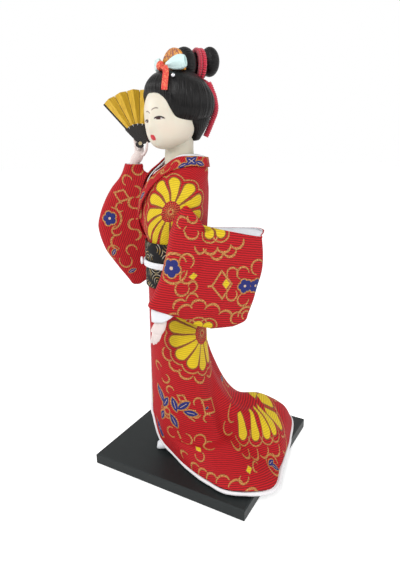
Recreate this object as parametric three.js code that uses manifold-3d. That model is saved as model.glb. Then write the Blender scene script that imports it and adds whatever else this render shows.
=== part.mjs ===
// A costume doll in a brocade kimono, raising a folding fan, on a square stand.
// Millimetres. The origin is under the middle of the stand. +Z is up, the doll's front
// faces -Y and its left hand is on the +X side. The stand is turned 45 degrees under it.

import * as THREE from 'three';
import { mergeVertices } from 'three/addons/utils/BufferGeometryUtils.js';
import Module from 'manifold-3d';

const wasm = await Module();
wasm.setup();

// Shared clearances and cloth
const GAP = 0.3;
const CLOTH = 0.8;
const LINING = 0.5;

// Stand and what holds the figure on it
const STAND_SIDE = 125;
const STAND_THICK = 9;
const STAND_CHAMFER = 0.8;
const PIN_RADIUS = 1.1;
const PIN_HEAD_RADIUS = 3;
const PIN_HEAD_THICK = 1.6;
const PIN_RECESS = 0.8;
const PIN_LENGTH = 26;
const PIN_CLEARANCE = 0.15;

// Figure: where its parts stand over the middle of the stand
const BODY_Y = -22.2;
const NECK_Y = -19.6;
const NECK_RADIUS = 9.9;
const NECK_PEG_RADIUS = 3.6;
const NECK_PEG_LENGTH = 9;
const HEAD_TURN = 20;
const HIP_Z = 118;
const NECK_SEAT_Z = 225;

// Outside of the dressed bust: height, half width, half depth, shift from BODY_Y
const BUST = [
  [118, 19.5, 20.6, -0.3],
  [152, 19.5, 20.8, 0],
  [175, 19.5, 20.8, 0],
  [180, 20.6, 22, -0.6],
  [188, 21.8, 23, -1.2],
  [199, 23, 23, -0.8],
  [209, 23.6, 22.2, 0],
  [216, 22, 21, 0.8],
  [221, 18.5, 19.6, 2.6],
  [226, 14.8, 17, 4.6],
  [232, 13.4, 15, 5.6],
];

// Neckline, from the nape round the left side to the sash: angle from the front, then
// the heights of the collar's inner and outer edges
const NECKLINE = [
  [180, 229.5, 223],
  [135, 230.5, 224.2],
  [90, 231.4, 225],
  [58, 230, 222],
  [34, 223, 213.5],
  [16, 212.5, 202],
  [0, 202, 190.5],
  [-16, 190.5, 178],
  [-26, 180, 175.6],
];
const UNDER_COLLAR_SHOWS = 0.9;
const NAPE_SPLIT = 179.2;
const BUST_SIDES = 24;
const BUST_TURN = 360;
const BODICE_ROWS = 8;

// Sash, its cord and its drum knot
const OBI_LOW = 142;
const OBI_HIGH = 174;
const OBI_WALL = 1.4;
const OBI_CORD_Z = 158.5;
const OBI_CORD_HIGH = 4.4;
const OBI_CORD_WALL = 1.1;
const KNOT_WIDTH = 36;
const KNOT_DEPTH = 12;
const KNOT_LOW = 145;
const KNOT_HIGH = 176;

// Skirt: each profile goes from the waist to the hem as shares of the way out and heights
const SKIRT_TOP = 150.6;
const UNDER_PANEL_INSET = 3.6;
const FALL = {
  front: [[0, 150], [0, 140], [0.14, 112], [0.28, 88], [0.42, 70], [0.55, 58], [0.68, 51],
    [0.8, 46], [0.9, 42.5], [1, 39]],
  corner: [[0, 150], [0, 140], [0.14, 110], [0.25, 86], [0.36, 66], [0.5, 51], [0.64, 41],
    [0.78, 33], [0.9, 26.5], [1, 20]],
  side: [[0, 150], [0, 140], [0.06, 108], [0.1, 84], [0.15, 64], [0.21, 45], [0.29, 28],
    [0.56, 23], [0.88, 16.5], [1, 12.9]],
  tip: [[0, 150], [0, 140], [0.02, 108], [0.05, 84], [0.11, 62], [0.19, 44], [0.3, 32],
    [0.56, 33], [0.86, 21], [1, 12.9]],
  train: [[0, 150], [0, 140], [0.01, 106], [0.04, 84], [0.13, 64], [0.25, 50], [0.4, 41],
    [0.64, 38], [0.9, 25], [1, 12.9]],
  plain: [[0, 150], [0, 140], [0.1, 106], [0.18, 84], [0.3, 64], [0.43, 46], [0.57, 33],
    [0.72, 24], [0.88, 17], [1, 12.9]],
};
const SKIRT = [
  { angle: -10, hem: [0, -43], fall: FALL.front },
  { angle: 14, hem: [8, -39.5], fall: FALL.corner },
  { angle: 36, hem: [20, -32.5], fall: FALL.side },
  { angle: 60, hem: [38, -26.5], fall: FALL.side },
  { angle: 84, hem: [56, -17], fall: FALL.side },
  { angle: 106, hem: [71.5, -3.5], fall: FALL.side },
  { angle: 126, hem: [77, 24], fall: FALL.tip },
  { angle: 148, hem: [55, 42], fall: FALL.train },
  { angle: 170, hem: [28, 61], fall: FALL.train },
  { angle: 194, hem: [-4, 76], fall: FALL.train },
  { angle: 220, hem: [-32, 58], fall: FALL.plain },
  { angle: 248, hem: [-42, 26], fall: FALL.plain },
  { angle: 280, hem: [-34, -4], fall: FALL.plain },
  { angle: 312, hem: [-24, -24], fall: FALL.plain },
  { angle: 340, hem: [-14, -36], fall: FALL.corner },
  { angle: 366, hem: [-5, -39], fall: FALL.front },
];
const SKIRT_ACROSS = 40;
const SKIRT_DOWN = 9;
const HEM_ROLL_RADIUS = 1.3;
const LAP_ROLL_END = 5;

// Sleeves, from their lowest edge up: height, front edge, back edge, middle x, half width
const LEFT_SLEEVE = [
  [119.5, -10, 10, 37, 1.8],
  [122, -18, 16.5, 37, 3.2],
  [127, -27.5, 18.7, 37, 4.2],
  [132, -38.5, 20.5, 37, 5],
  [137.5, -50, 22.5, 36.6, 5.4],
  [145, -47, 24.5, 36, 5.6],
  [157, -41.5, 28, 35, 6],
  [168, -38, 29, 33.5, 6],
  [178, -35.5, 28.6, 32, 6],
  [184.6, -34, 28.2, 30.6, 6],
  [186.6, -33.2, 2, 30.2, 6],
  [190.4, -31.6, -9, 29, 6.2],
  [200, -29.5, -9.5, 26.5, 6.2],
  [210, -28, -11, 23, 6],
  [216, -24, -14, 20, 4.4],
];
const LEFT_MOUTH = [[-8, 187.8], [24.5, 180.3], [60, 172], [60, 196], [-8, 196]];
const MOUTH_FAR_SIDE = 32.4;
const WRIST_CUT = [[-60, 142.8], [-26.5, 128.2], [-26.5, 110], [-60, 110]];
const CUFF = [
  [141, -38.4, 36.1, 3.2, 4.2, 0],
  [136, -41, 36.6, 3.9, 7.2, 0],
  [128.2, -41.1, 37.2, 3.8, 7.4, 0.42],
];
const RIGHT_SLEEVE = [
  [131.5, -49.5, -43, -39, 1.6],
  [136, -52.5, -37.5, -39, 3.4],
  [142, -57, -32.5, -39, 4.8],
  [150, -62.5, -27, -38.5, 5.8],
  [160, -68.5, -21.5, -37.5, 6.6],
  [176, -72.6, -14.5, -37, 7.2],
  [186, -70.8, -10.5, -36, 7.2],
  [197, -66.5, -9, -34.6, 7],
  [206, -61.5, -9, -33.6, 6.4],
  [213, -56, -12, -33, 5],
  [217, -53.5, -35, -37, 4.6],
  [223.5, -51, -39, -37.6, 5],
];
const RIGHT_SLEEVE_SKEW = 0.32;
const SLEEVE_SIDES = 12;
const CUFF_RISES_FROM = -41.5;

// Arms: shoulder, elbow and wrist
const ARM_RADIUS = 2.2;
const LEFT_ARM = [[15.5, -19, 208], [27, -22, 196], [34.6, -32, 160], [36.7, -41, 133]];
const RIGHT_ARM = [[-15.5, -19, 206], [-27, -25, 197], [-36.4, -45, 194], [-36.9, -45, 219]];
const WRIST_RADIUS = 3.4;

// Legs and feet
const STANCE = 6.4;
const FOOT_LENGTH = 23;
const FOOT_WIDTH = 9;
const FOOT_HEIGHT = 8;
const TOE_Y = -42;
const RIGHT_FOOT_BACK = 8;
const TOE_SPLIT = 0.9;

// Head, before it is turned: height, half width, front and back from the neck's middle
const SKULL = [
  [235.6, 3, -15, -9.6],
  [236.8, 7, -17.8, -4],
  [239.4, 11, -20.2, 3],
  [243.4, 14.1, -22.2, 7.6],
  [248.4, 16.2, -23.1, 11.4],
  [254.4, 17.6, -23.7, 14.3],
  [261.4, 18.1, -23.5, 16.2],
  [268, 17.2, -21.4, 16.2],
  [274, 13.9, -16.8, 13.9],
  [278.6, 8.2, -10.1, 8.6],
  [280.6, 2, -3, 2.3],
];
const FACE_TURN = 7.5;
const NOSE_Z = 248.5;
const NOSE_OUT = 2.1;
const LIP_Z = 242.8;
const LIP_OUT = 0.7;
const EYE_Z = 254.6;
const EYE_APART = 5.7;
const EYE_DEEP = 0.7;

// Hair: the same columns as the skull
const HAIR = [
  [253, 19.8, -19.8, 18.6],
  [256.5, 22.6, -22.4, 20.8],
  [262, 24, -23.8, 22.6],
  [268, 23.6, -23, 22.2],
  [273, 21.8, -21.8, 19.4],
  [277.4, 19.5, -20.7, 15.6],
  [281.4, 14.3, -16.2, 10.7],
  [284.2, 7.6, -9.5, 4.8],
  [285.2, 2, -3, 0],
];
const NAPE = [
  [240.6, 7.6, 4, 13],
  [243, 10.8, 1, 14.6],
  [248, 15.9, -3, 16.2],
  [253.4, 19.2, -9, 19],
  [262, 19.5, -6, 20.6],
];

// Hairline on the skull: angle from the front about a point in the head, and height. The
// hair rises from it at a slant: each millimetre outwards widens the cut by this share.
const HAIRLINE = [[66, 246], [61, 254.6], [54, 256], [46, 260.4], [38, 265.1], [24, 268.7], [12, 269.7]];
const HAIRLINE_CENTRE = [0, -2, 256];
const HAIRLINE_RADIUS = 19.6;
const HAIRLINE_SLANT = 0.042;

// Topknot, its cord and the ornaments, before the head is turned, over the top of the hair
const HAIR_TOP = HAIR[HAIR.length - 1][0];
const LOBE = { y: 4.4, z: HAIR_TOP + 2.4, wide: 9.1, deep: 7.6, high: 10.4 };
const BUN = { y: 24.9, z: HAIR_TOP + 5.2, wide: 7.4, deep: 6.2, high: 9.2 };
const CORD_RADIUS = 1.35;
const CORD_TURNS = 2;
const CORD_SPACING = 0.6;
const CORD_LOOP_WIDE = 6;
const CORD_LOOP_HIGH = 9.2;
const CORD_LOOP_Y = 14;
const CORD_STEPS = 24;
const CORD_SIDES = 6;
const CORD_END = [[2.4, 19.7, -7.8], [4.2, 20.7, -9.2]];
const TAIL_PATH = [[166.5, 22.1, 275], [164.5, 23, 272.6], [161, 24, 269.2], [157.5, 24.5, 265.4],
  [154, 24.7, 261.4], [151, 23.8, 257.4], [149, 22.1, 253.4], [147.6, 20.5, 249.6],
  [146.6, 18.9, 246], [146, 17.6, 243.2]];
const COMB = { y: -3, z: HAIR_TOP - 0.8, radius: 13.3, high: 12.4, thick: 1.6 };
const BOW = { y: -13.4, z: HAIR_TOP + 0.4, loopX: 10.2, loopY: -8.6, loopZ: HAIR_TOP + 1.6 };
const BOW_KNOT = [3.2, 2.6, 3];
const BOW_LOOP = [7, 3.2, 4.4];
const BOW_LOOP_DROOP = 14;
const BOW_LOOP_SWEEP = 34;
const RIBBON_TAIL = [[3.4, -13.8, -0.2], [8.6, -15, -2.4], [12.6, -17.8, -7.2], [13.9, -19.6, -14.8]];
const HAIR_PIN_AT = [14.6, -13.6, HAIR_TOP - 6];
const HAIR_PIN_RADIUS = 1.3;
const RIBBON_WIDTH = 3.4;
const RIBBON_THICK = 1.6;

// Fan, held at its rivet: angles from the vertical, positive towards the doll's back
const FAN_AT = [-35, -40.2, 238];
const FAN_FACES = -8;
const FAN_STICKS = 9;
const FAN_FIRST = -42;
const FAN_STEP = 14.5;
const FAN_RADIUS = 36;
const LEAF_INNER = 13.6;
const LEAF_THICK = 0.25;
const PLEAT_SHARE = 0.055;
const STICK_THICK = 0.4;
const STICK_PITCH = 0.56;
const STICK_WIDTH = 2.6;
const STICK_TAIL = 3.4;
const RIB_WIDTH = 1.4;
const RIVET_RADIUS = 0.62;
const RIVET_CLEARANCE = 0.22;

// Materials
const material = (color, roughness, metalness = 0) =>
  new THREE.MeshStandardMaterial({ color, roughness, metalness });
const RED_BROCADE = () => material(0xc41a26, 0.75);
const WHITE_CLOTH = () => material(0xe8e6e4, 0.85);
const BLACK_HAIR = () => material(0x101012, 0.4);
const SKIN = () => material(0xe6dcd2, 0.45);
const BLACK_LACQUER = () => material(0x24282a, 0.45);
const CRIMSON_CORD = () => material(0xc4163c, 0.7);
const GOLD_PAPER = () => material(0xc89820, 0.5, 0.2);
const STEEL = () => material(0x9a9a98, 0.35, 0.9);

const figure = new THREE.Group();
const head = new THREE.Group();
head.position.set(0, NECK_Y, 0);
head.rotation.z = THREE.MathUtils.degToRad(HEAD_TURN);
figure.add(head);

function add(name, geometry, paint, parent = figure) {
  const mesh = new THREE.Mesh(geometry, paint);
  mesh.name = name;
  parent.add(mesh);
  return mesh;
}

// Numbers, curves and outlines

const rad = THREE.MathUtils.degToRad;
const lerp = THREE.MathUtils.lerp;
const vec = (x, y, z) => new THREE.Vector3(x, y, z);

// Reads a row of a table at a place on its first column, smoothly between the rows
function readTable(rows, at) {
  const last = rows.length - 1;
  const rising = rows[last][0] > rows[0][0];
  let i = 0;
  while (i < last - 1 && (rising ? at > rows[i + 1][0] : at < rows[i + 1][0])) {
    i += 1;
  }
  const span = rows[i + 1][0] - rows[i][0];
  const t = THREE.MathUtils.clamp((at - rows[i][0]) / span, 0, 1);
  const before = rows[Math.max(i - 1, 0)];
  const after = rows[Math.min(i + 2, last)];
  return rows[i].slice(1).map((start, k) => {
    const end = rows[i + 1][k + 1];
    const slope = (end - start) / span;
    const slopeIn = i > 0 ? (end - before[k + 1]) / (rows[i + 1][0] - before[0]) : slope;
    const slopeOut = i < last - 1 ? (after[k + 1] - start) / (after[0] - rows[i][0]) : slope;
    const t2 = t * t;
    const t3 = t2 * t;
    return (2 * t3 - 3 * t2 + 1) * start + (t3 - 2 * t2 + t) * span * slopeIn
      + (3 * t2 - 2 * t3) * end + (t3 - t2) * span * slopeOut;
  });
}

// A rounded ring at one height; squareness above 1 fills its corners
function ring(z, halfX, halfY, midX, midY, sides, squareness = 1) {
  return Array.from({ length: sides }, (_, i) => {
    const a = (2 * Math.PI * i) / sides;
    const s = Math.sign(Math.sin(a)) * Math.abs(Math.sin(a)) ** (1 / squareness);
    const c = Math.sign(Math.cos(a)) * Math.abs(Math.cos(a)) ** (1 / squareness);
    return vec(midX + halfX * s, midY - halfY * c, z);
  });
}

// Closed bodies from rings, sheets and tubes

function body(points, faces) {
  const geometry = new THREE.BufferGeometry();
  geometry.setAttribute('position',
    new THREE.Float32BufferAttribute(points.flatMap((p) => [p.x, p.y, p.z]), 3));
  let volume = 0;
  faces.forEach(([a, b, c]) => {
    volume += points[a].dot(vec(0, 0, 0).crossVectors(points[b], points[c]));
  });
  geometry.setIndex(faces.flatMap(([a, b, c]) => (volume < 0 ? [a, c, b] : [a, b, c])));
  return geometry;
}

// Skin over a run of rings with a fan over each end, or joined end to end when closed
function loft(rings, closed = false) {
  const sides = rings[0].length;
  const points = rings.flat();
  const faces = [];
  const spans = closed ? rings.length : rings.length - 1;
  for (let k = 0; k < spans; k += 1) {
    const low = k * sides;
    const high = ((k + 1) % rings.length) * sides;
    for (let i = 0; i < sides; i += 1) {
      const j = (i + 1) % sides;
      faces.push([low + i, low + j, high + j], [low + i, high + j, high + i]);
    }
  }
  if (!closed) {
    [0, rings.length - 1].forEach((k, end) => {
      const middle = points.length;
      points.push(rings[k].reduce((sum, p) => sum.add(p), vec(0, 0, 0)).divideScalar(sides));
      for (let i = 0; i < sides; i += 1) {
        const a = k * sides + i;
        const b = k * sides + ((i + 1) % sides);
        faces.push(end ? [middle, a, b] : [middle, b, a]);
      }
    });
  }
  return body(points, faces);
}

// Directions of a surface across and down it, and the one it faces
function slopes(at, u, v, closed = false) {
  const step = 1e-3;
  const [low, high] = closed ? [-1, 2] : [0, 1];
  const du = at(Math.min(u + step, high), v).sub(at(Math.max(u - step, low), v));
  const dv = at(u, Math.min(v + step, 1)).sub(at(u, Math.max(v - step, 0)));
  return { du, dv, normal: vec(0, 0, 0).crossVectors(dv, du).normalize() };
}

// A sheet with a wall: at(u, v) gives its outer side, and the wall lies behind it.
// A closed sheet meets itself in u, as a tube does.
function sheet(across, down, at, wall, closed = false, inset = 0) {
  const columns = closed ? across : across + 1;
  const outer = [];
  const inner = [];
  for (let j = 0; j <= down; j += 1) {
    for (let i = 0; i < columns; i += 1) {
      const u = i / across;
      const v = j / down;
      const { normal } = slopes(at, u, v, closed);
      outer.push(at(u, v).addScaledVector(normal, -inset));
      inner.push(at(u, v).addScaledVector(normal, -inset - wall));
    }
  }
  const faces = [];
  const inside = outer.length;
  const cell = (i, j) => j * columns + (i % columns);
  for (let j = 0; j < down; j += 1) {
    for (let i = 0; i < across; i += 1) {
      const [a, b, c, d] = [cell(i, j), cell(i + 1, j), cell(i + 1, j + 1), cell(i, j + 1)];
      faces.push([a, b, c], [a, c, d]);
      faces.push([inside + a, inside + c, inside + b], [inside + a, inside + d, inside + c]);
    }
  }
  const rim = (a, b) => faces.push([a, inside + b, b], [a, inside + a, inside + b]);
  for (let i = 0; i < across; i += 1) {
    rim(cell(i, 0), cell(i + 1, 0));
    rim(cell(i + 1, down), cell(i, down));
  }
  if (!closed) {
    for (let j = 0; j < down; j += 1) {
      rim(cell(0, j + 1), cell(0, j));
      rim(cell(across, j), cell(across, j + 1));
    }
  }
  return body([...outer, ...inner], faces);
}

// Tapered limb along points, with its own half width and half depth at each point
function limb(points, widths, depths, sides, upright = vec(0, -1, 0)) {
  const path = points.map((p) => vec(...p));
  const rings = path.map((p, k) => {
    const along = path[Math.min(k + 1, path.length - 1)].clone()
      .sub(path[Math.max(k - 1, 0)]).normalize();
    const side = vec(0, 0, 0).crossVectors(upright, along).normalize();
    const up = vec(0, 0, 0).crossVectors(along, side).normalize();
    return Array.from({ length: sides }, (_, i) => {
      const a = (2 * Math.PI * i) / sides;
      return p.clone().addScaledVector(side, widths[k] * Math.cos(a))
        .addScaledVector(up, depths[k] * Math.sin(a));
    });
  });
  return loft(rings);
}

// Round rope with a ring at each point, carried along without twisting
function rope(points, radius, sides) {
  let side = null;
  const rings = points.map((p, k) => {
    const along = points[Math.min(k + 1, points.length - 1)].clone()
      .sub(points[Math.max(k - 1, 0)]).normalize();
    side = side ?? (Math.abs(along.z) > 0.7 ? vec(1, 0, 0) : vec(0, 0, 1));
    side = side.clone().addScaledVector(along, -side.dot(along)).normalize();
    const up = vec(0, 0, 0).crossVectors(along, side);
    return Array.from({ length: sides }, (_, i) => {
      const a = (2 * Math.PI * i) / sides;
      return p.clone().addScaledVector(side, radius * Math.cos(a))
        .addScaledVector(up, radius * Math.sin(a));
    });
  });
  return loft(rings);
}

function tube(points, radius, sides, steps) {
  const round = new THREE.Shape();
  for (let i = 0; i < sides; i += 1) {
    const a = (2 * Math.PI * i) / sides;
    const move = i === 0 ? 'moveTo' : 'lineTo';
    round[move](radius * Math.cos(a), radius * Math.sin(a));
  }
  round.closePath();
  const path = new THREE.CatmullRomCurve3(points, false, 'centripetal');
  return new THREE.ExtrudeGeometry(round, { steps, extrudePath: path, bevelEnabled: false });
}

// A revolved piece with its axis along +Z; the profile runs from the axis to the axis
function turned(profile, segments, x = 0, y = 0, z = 0) {
  const geometry = new THREE.LatheGeometry(profile.map((p) => new THREE.Vector2(...p)), segments);
  return geometry.rotateX(Math.PI / 2).translate(x, y, z);
}

function ellipsoid(halfX, halfY, halfZ, x, y, z, across = 16, down = 10) {
  return new THREE.SphereGeometry(1, across, down).rotateX(Math.PI / 2)
    .scale(halfX, halfY, halfZ).translate(x, y, z);
}

// Joins and cuts

function solid(geometry) {
  const bare = geometry.clone();
  bare.deleteAttribute('normal');
  bare.deleteAttribute('uv');
  const merged = mergeVertices(bare, 1e-4);
  return new wasm.Manifold(new wasm.Mesh({
    numProp: 3,
    vertProperties: new Float32Array(merged.attributes.position.array),
    triVerts: new Uint32Array(merged.index.array),
  }));
}

function toGeometry(result) {
  const mesh = result.getMesh();
  const geometry = new THREE.BufferGeometry();
  geometry.setAttribute('position', new THREE.BufferAttribute(mesh.vertProperties, 3));
  geometry.setIndex(new THREE.BufferAttribute(mesh.triVerts, 1));
  return geometry;
}

const join = (first, ...others) =>
  toGeometry(others.reduce((whole, g) => whole.add(solid(g)), solid(first)));
const cut = (first, ...others) =>
  toGeometry(others.reduce((whole, g) => whole.subtract(solid(g)), solid(first)));

// Surface of the dressed bust: angle in degrees from the front towards the left hand
function bustPoint(angle, z, offset) {
  const [halfX, halfY, shift] = readTable(BUST, z);
  const a = rad(angle);
  return vec((halfX + offset) * Math.sin(a), BODY_Y + shift - (halfY + offset) * Math.cos(a), z);
}

function bustRings(levels, offset, sides) {
  return levels.map((z) =>
    Array.from({ length: sides }, (_, i) => bustPoint((360 * i) / sides, z, offset)));
}

const TORSO_OFFSET = -CLOTH - LINING - 6 * GAP;
const HIP_OFFSET = TORSO_OFFSET - UNDER_PANEL_INSET - CLOTH;
const neckAxis = (profile, segments) => turned(profile, segments, 0, NECK_Y);

function armTube(arm, extra) {
  const radii = arm.map(() => ARM_RADIUS + extra);
  return limb(arm, radii, radii, 10);
}

// Stand

function makeStand() {
  const half = STAND_SIDE / 2 - STAND_CHAMFER;
  const square = new THREE.Shape([[-half, -half], [half, -half], [half, half], [-half, half]]
    .map((p) => new THREE.Vector2(...p)));
  const board = new THREE.ExtrudeGeometry(square, {
    depth: STAND_THICK - 2 * STAND_CHAMFER,
    bevelThickness: STAND_CHAMFER,
    bevelSize: STAND_CHAMFER,
    bevelSegments: 1,
  }).translate(0, 0, STAND_CHAMFER).rotateZ(rad(45));
  const recess = PIN_RECESS + PIN_HEAD_THICK + GAP;
  const holes = [-1, 1].map((side) => turned([
    [0, -1],
    [PIN_HEAD_RADIUS + GAP, -1],
    [PIN_HEAD_RADIUS + GAP, recess],
    [PIN_RADIUS + PIN_CLEARANCE, recess],
    [PIN_RADIUS + PIN_CLEARANCE, STAND_THICK + 1],
    [0, STAND_THICK + 1],
  ], 10, side * STANCE, heelY(side), 0));
  add('stand_board', cut(board, ...holes), BLACK_LACQUER());
}

const toeY = (side) => (side > 0 ? TOE_Y : TOE_Y + RIGHT_FOOT_BACK);
const heelY = (side) => toeY(side) + FOOT_LENGTH - 7;

function pinSolid(side, extra, top = PIN_LENGTH) {
  return turned([
    [0, PIN_RECESS],
    [PIN_HEAD_RADIUS + extra, PIN_RECESS],
    [PIN_HEAD_RADIUS + extra, PIN_RECESS + PIN_HEAD_THICK + extra],
    [PIN_RADIUS + extra, PIN_RECESS + PIN_HEAD_THICK + extra],
    [PIN_RADIUS + extra, top + extra],
    [0, top + extra],
  ], 10, side * STANCE, heelY(side), 0);
}

// Feet in split-toed socks, and legs

function makeLeg(side, word) {
  const x = side * STANCE;
  const sole = STAND_THICK + GAP;
  const toe = toeY(side);
  const heel = heelY(side);
  const along = [[0, 0.62, 0.57], [0.05, 0.86, 0.76], [0.2, 0.96, 0.8], [0.45, 0.94, 0.84],
    [0.7, 0.82, 0.92], [0.93, 0.74, 0.86], [1, 0.44, 0.62]];
  const rings = along.map(([t, width, height]) => {
    const y = toe + t * FOOT_LENGTH;
    return Array.from({ length: 12 }, (_, i) => {
      const a = (2 * Math.PI * i) / 12;
      const half = (FOOT_HEIGHT * height) / 2;
      const z = Math.max(-half * 0.86, half * Math.sin(a)) + half * 0.86;
      return vec(x + ((FOOT_WIDTH * width) / 2) * Math.cos(a), y, sole + z);
    });
  });
  const split = new THREE.BoxGeometry(TOE_SPLIT, 8, FOOT_HEIGHT)
    .translate(x - side * 1.2, toe, sole + 0.9 * FOOT_HEIGHT);
  const ankle = limb([[x, heel, sole + 3], [x, heel, sole + 12]], [3.6, 3.5], [3.9, 3.6], 12);
  const foot = join(loft(rings), ankle);
  add(`${word}_foot`, cut(foot, split, pinSolid(side, PIN_CLEARANCE)), WHITE_CLOTH());
  const ankleTop = sole + 12 + GAP;
  const leg = limb(
    [[x, heel, ankleTop], [x, (heel + BODY_Y) / 2, 50], [x * 1.1, -24, 78],
      [x * 1.2, BODY_Y, HIP_Z - 8], [x * 1.2, BODY_Y, HIP_Z - GAP]],
    [3.4, 4.6, 5.4, 6.4, 6.6], [3.6, 4.8, 5.8, 7.4, 7.6], 12);
  add(`${word}_leg`, cut(leg, pinSolid(side, PIN_CLEARANCE)), SKIN());
  add(`${word}_foot_pin`, pinSolid(side, 0), STEEL());
}

// Bust core, bodice and collars

function makeTorso() {
  const rings = [
    ...bustRings([HIP_Z, SKIRT_TOP], HIP_OFFSET, 18),
    ...bustRings([SKIRT_TOP + 3, 175, 188, 200, 210, 216, 220], TORSO_OFFSET, 18),
  ];
  rings.push(ring(NECK_SEAT_Z - 2, NECK_RADIUS + 2.4, NECK_RADIUS + 2.4, 0, NECK_Y, 18));
  rings.push(ring(NECK_SEAT_Z, NECK_RADIUS, NECK_RADIUS, 0, NECK_Y, 18));
  const socket = neckAxis([
    [0, NECK_SEAT_Z - NECK_PEG_LENGTH - 2 * GAP],
    [NECK_PEG_RADIUS + GAP, NECK_SEAT_Z - NECK_PEG_LENGTH - 2 * GAP],
    [NECK_PEG_RADIUS + GAP, NECK_SEAT_Z + 1],
    [0, NECK_SEAT_Z + 1],
  ], 16);
  const sockets = [LEFT_ARM, RIGHT_ARM].map((arm) => armTube(arm, GAP));
  add('torso_form', cut(loft(rings), socket, ...sockets), SKIN());
}

const collarTop = (angle) => {
  const turn = Math.abs(((angle + 540) % 360) - 180);
  const [inner, outer] = readTable(NECKLINE, turn);
  return (inner + outer) / 2;
};

function makeBodice() {
  const above = (BODICE_ROWS - 1) / BODICE_ROWS;
  const at = (u, v) => {
    const angle = BUST_TURN * u;
    const z = v > above
      ? lerp(OBI_HIGH + 1, SKIRT_TOP + GAP, (v - above) / (1 - above))
      : lerp(collarTop(angle), OBI_HIGH + 1, (v / above) ** 1.5);
    return bustPoint(angle, z, 0);
  };
  const shell = sheet(BUST_SIDES, BODICE_ROWS, at, CLOTH, true);
  const holes = [LEFT_ARM, RIGHT_ARM].map((arm) => armTube(arm, GAP));
  add('kimono_bodice', cut(shell, ...holes), RED_BROCADE());
}

// A band that follows the neckline from one angle to another, between two edges
function sheetBand(from, to, steps, rows, edges, offset, wall) {
  const side = from < 0 ? -1 : 1;
  const at = (u, v) => {
    const angle = lerp(from, to, u);
    const [high, low] = edges(angle * side);
    return bustPoint(angle, lerp(high, low, side < 0 ? v : 1 - v), offset(angle * side) + wall);
  };
  return sheet(steps, rows, at, wall);
}

function makeCollars() {
  const outside = (angle) => readTable(NECKLINE, angle);
  const under = (angle) => {
    const [high] = readTable(NECKLINE, angle);
    return [high + UNDER_COLLAR_SHOWS, high - 3];
  };
  const lift = 2.3 * GAP;
  const lap = CLOTH + GAP;
  const over = (angle) => lift + lap * THREE.MathUtils.smoothstep(-angle, -40, -12);
  const left = sheetBand(NAPE_SPLIT, -26, 22, 3, outside, over, CLOTH);
  const right = sheetBand(-NAPE_SPLIT, -3, 18, 3, outside, () => lift, CLOTH);
  add('kimono_collar_left', left, RED_BROCADE());
  add('kimono_collar_right', right, RED_BROCADE());
  const inside = () => -CLOTH - 1.5 * GAP - LINING;
  add('under_collar_left', sheetBand(NAPE_SPLIT, 1, 16, 1, under, inside, LINING), WHITE_CLOTH());
  add('under_collar_right', sheetBand(-NAPE_SPLIT, -7, 16, 1, under, inside, LINING), WHITE_CLOTH());
}

// Sash, its cord and its knot

function band(low, high, offset, wall, sides, steps) {
  const at = (u, v) => bustPoint(360 * u, lerp(high, low, v), 0);
  const grown = (u, v) => {
    const p = at(u, v);
    const out = bustPoint(360 * u, (OBI_LOW + OBI_HIGH) / 2, offset + wall);
    return vec(out.x, out.y, p.z);
  };
  return sheet(sides, steps, grown, wall, true);
}

function makeObi() {
  add('obi', band(OBI_LOW, OBI_HIGH, GAP, OBI_WALL, BUST_SIDES, 1), material(0x111114, 0.6));
  const cordOffset = GAP + OBI_WALL + GAP;
  const cordLow = OBI_CORD_Z - OBI_CORD_HIGH / 2;
  const cord = band(cordLow, cordLow + OBI_CORD_HIGH, cordOffset, OBI_CORD_WALL, BUST_SIDES, 1);
  add('obi_cord', cord, WHITE_CLOTH());
  const front = bustPoint(-4, OBI_CORD_Z, cordOffset + OBI_CORD_WALL + GAP);
  const clasp = new THREE.TorusGeometry(2, 0.8, 6, 12).scale(0.8, 1, 1).rotateX(Math.PI / 2);
  add('obi_clasp', clasp.translate(front.x, front.y - 1, OBI_CORD_Z + 1.2), material(0xe0dcdc, 0.4));
  const back = bustPoint(180, OBI_CORD_Z, cordOffset + OBI_CORD_WALL + GAP).y;
  const rings = [KNOT_LOW, KNOT_LOW + 3, lerp(KNOT_LOW, KNOT_HIGH, 0.5), KNOT_HIGH - 4, KNOT_HIGH]
    .map((z, k) => {
      const swell = [0.72, 0.94, 1, 0.96, 0.7][k];
      const depth = (KNOT_DEPTH * swell) / 2;
      return ring(z, (KNOT_WIDTH * (0.9 + 0.1 * swell)) / 2, depth, 0, back + KNOT_DEPTH / 2, 20, 2.2);
    });
  const [around] = bustRings([OBI_CORD_Z], cordOffset + OBI_CORD_WALL + GAP, BUST_SIDES);
  const slot = loft([KNOT_LOW - 1, KNOT_HIGH + 1].map((z) => around.map((p) => vec(p.x, p.y, z))));
  add('obi_knot', cut(loft(rings), slot), material(0x141416, 0.6));
}

// Skirt: a sheet wrapped from the front round the left side to the front again

function skirtPoint(u, v) {
  const rows = SKIRT.map((s) => [s.angle, ...s.hem, ...s.fall.flat()]);
  const angle = lerp(SKIRT[0].angle, SKIRT[SKIRT.length - 1].angle, u);
  const [hemX, hemY, ...fall] = readTable(rows, angle);
  const level = v * (FALL.front.length - 1);
  const pairs = FALL.front.map((_, k) => [k, fall[2 * k], fall[2 * k + 1]]);
  const [out, height] = readTable(pairs, level);
  const under = THREE.MathUtils.smoothstep(angle, 322, 350);
  const waist = bustPoint(angle, SKIRT_TOP, -under * UNDER_PANEL_INSET);
  const z = v === 0 ? SKIRT_TOP : height;
  return vec(lerp(waist.x, hemX, out), lerp(waist.y, hemY, out), z);
}

function makeSkirt() {
  const across = [SKIRT_ACROSS, SKIRT_DOWN, skirtPoint];
  add('kimono_skirt', sheet(...across, CLOTH), RED_BROCADE());
  add('skirt_lining', sheet(...across, LINING, false, CLOTH + GAP), WHITE_CLOTH());
}

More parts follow.
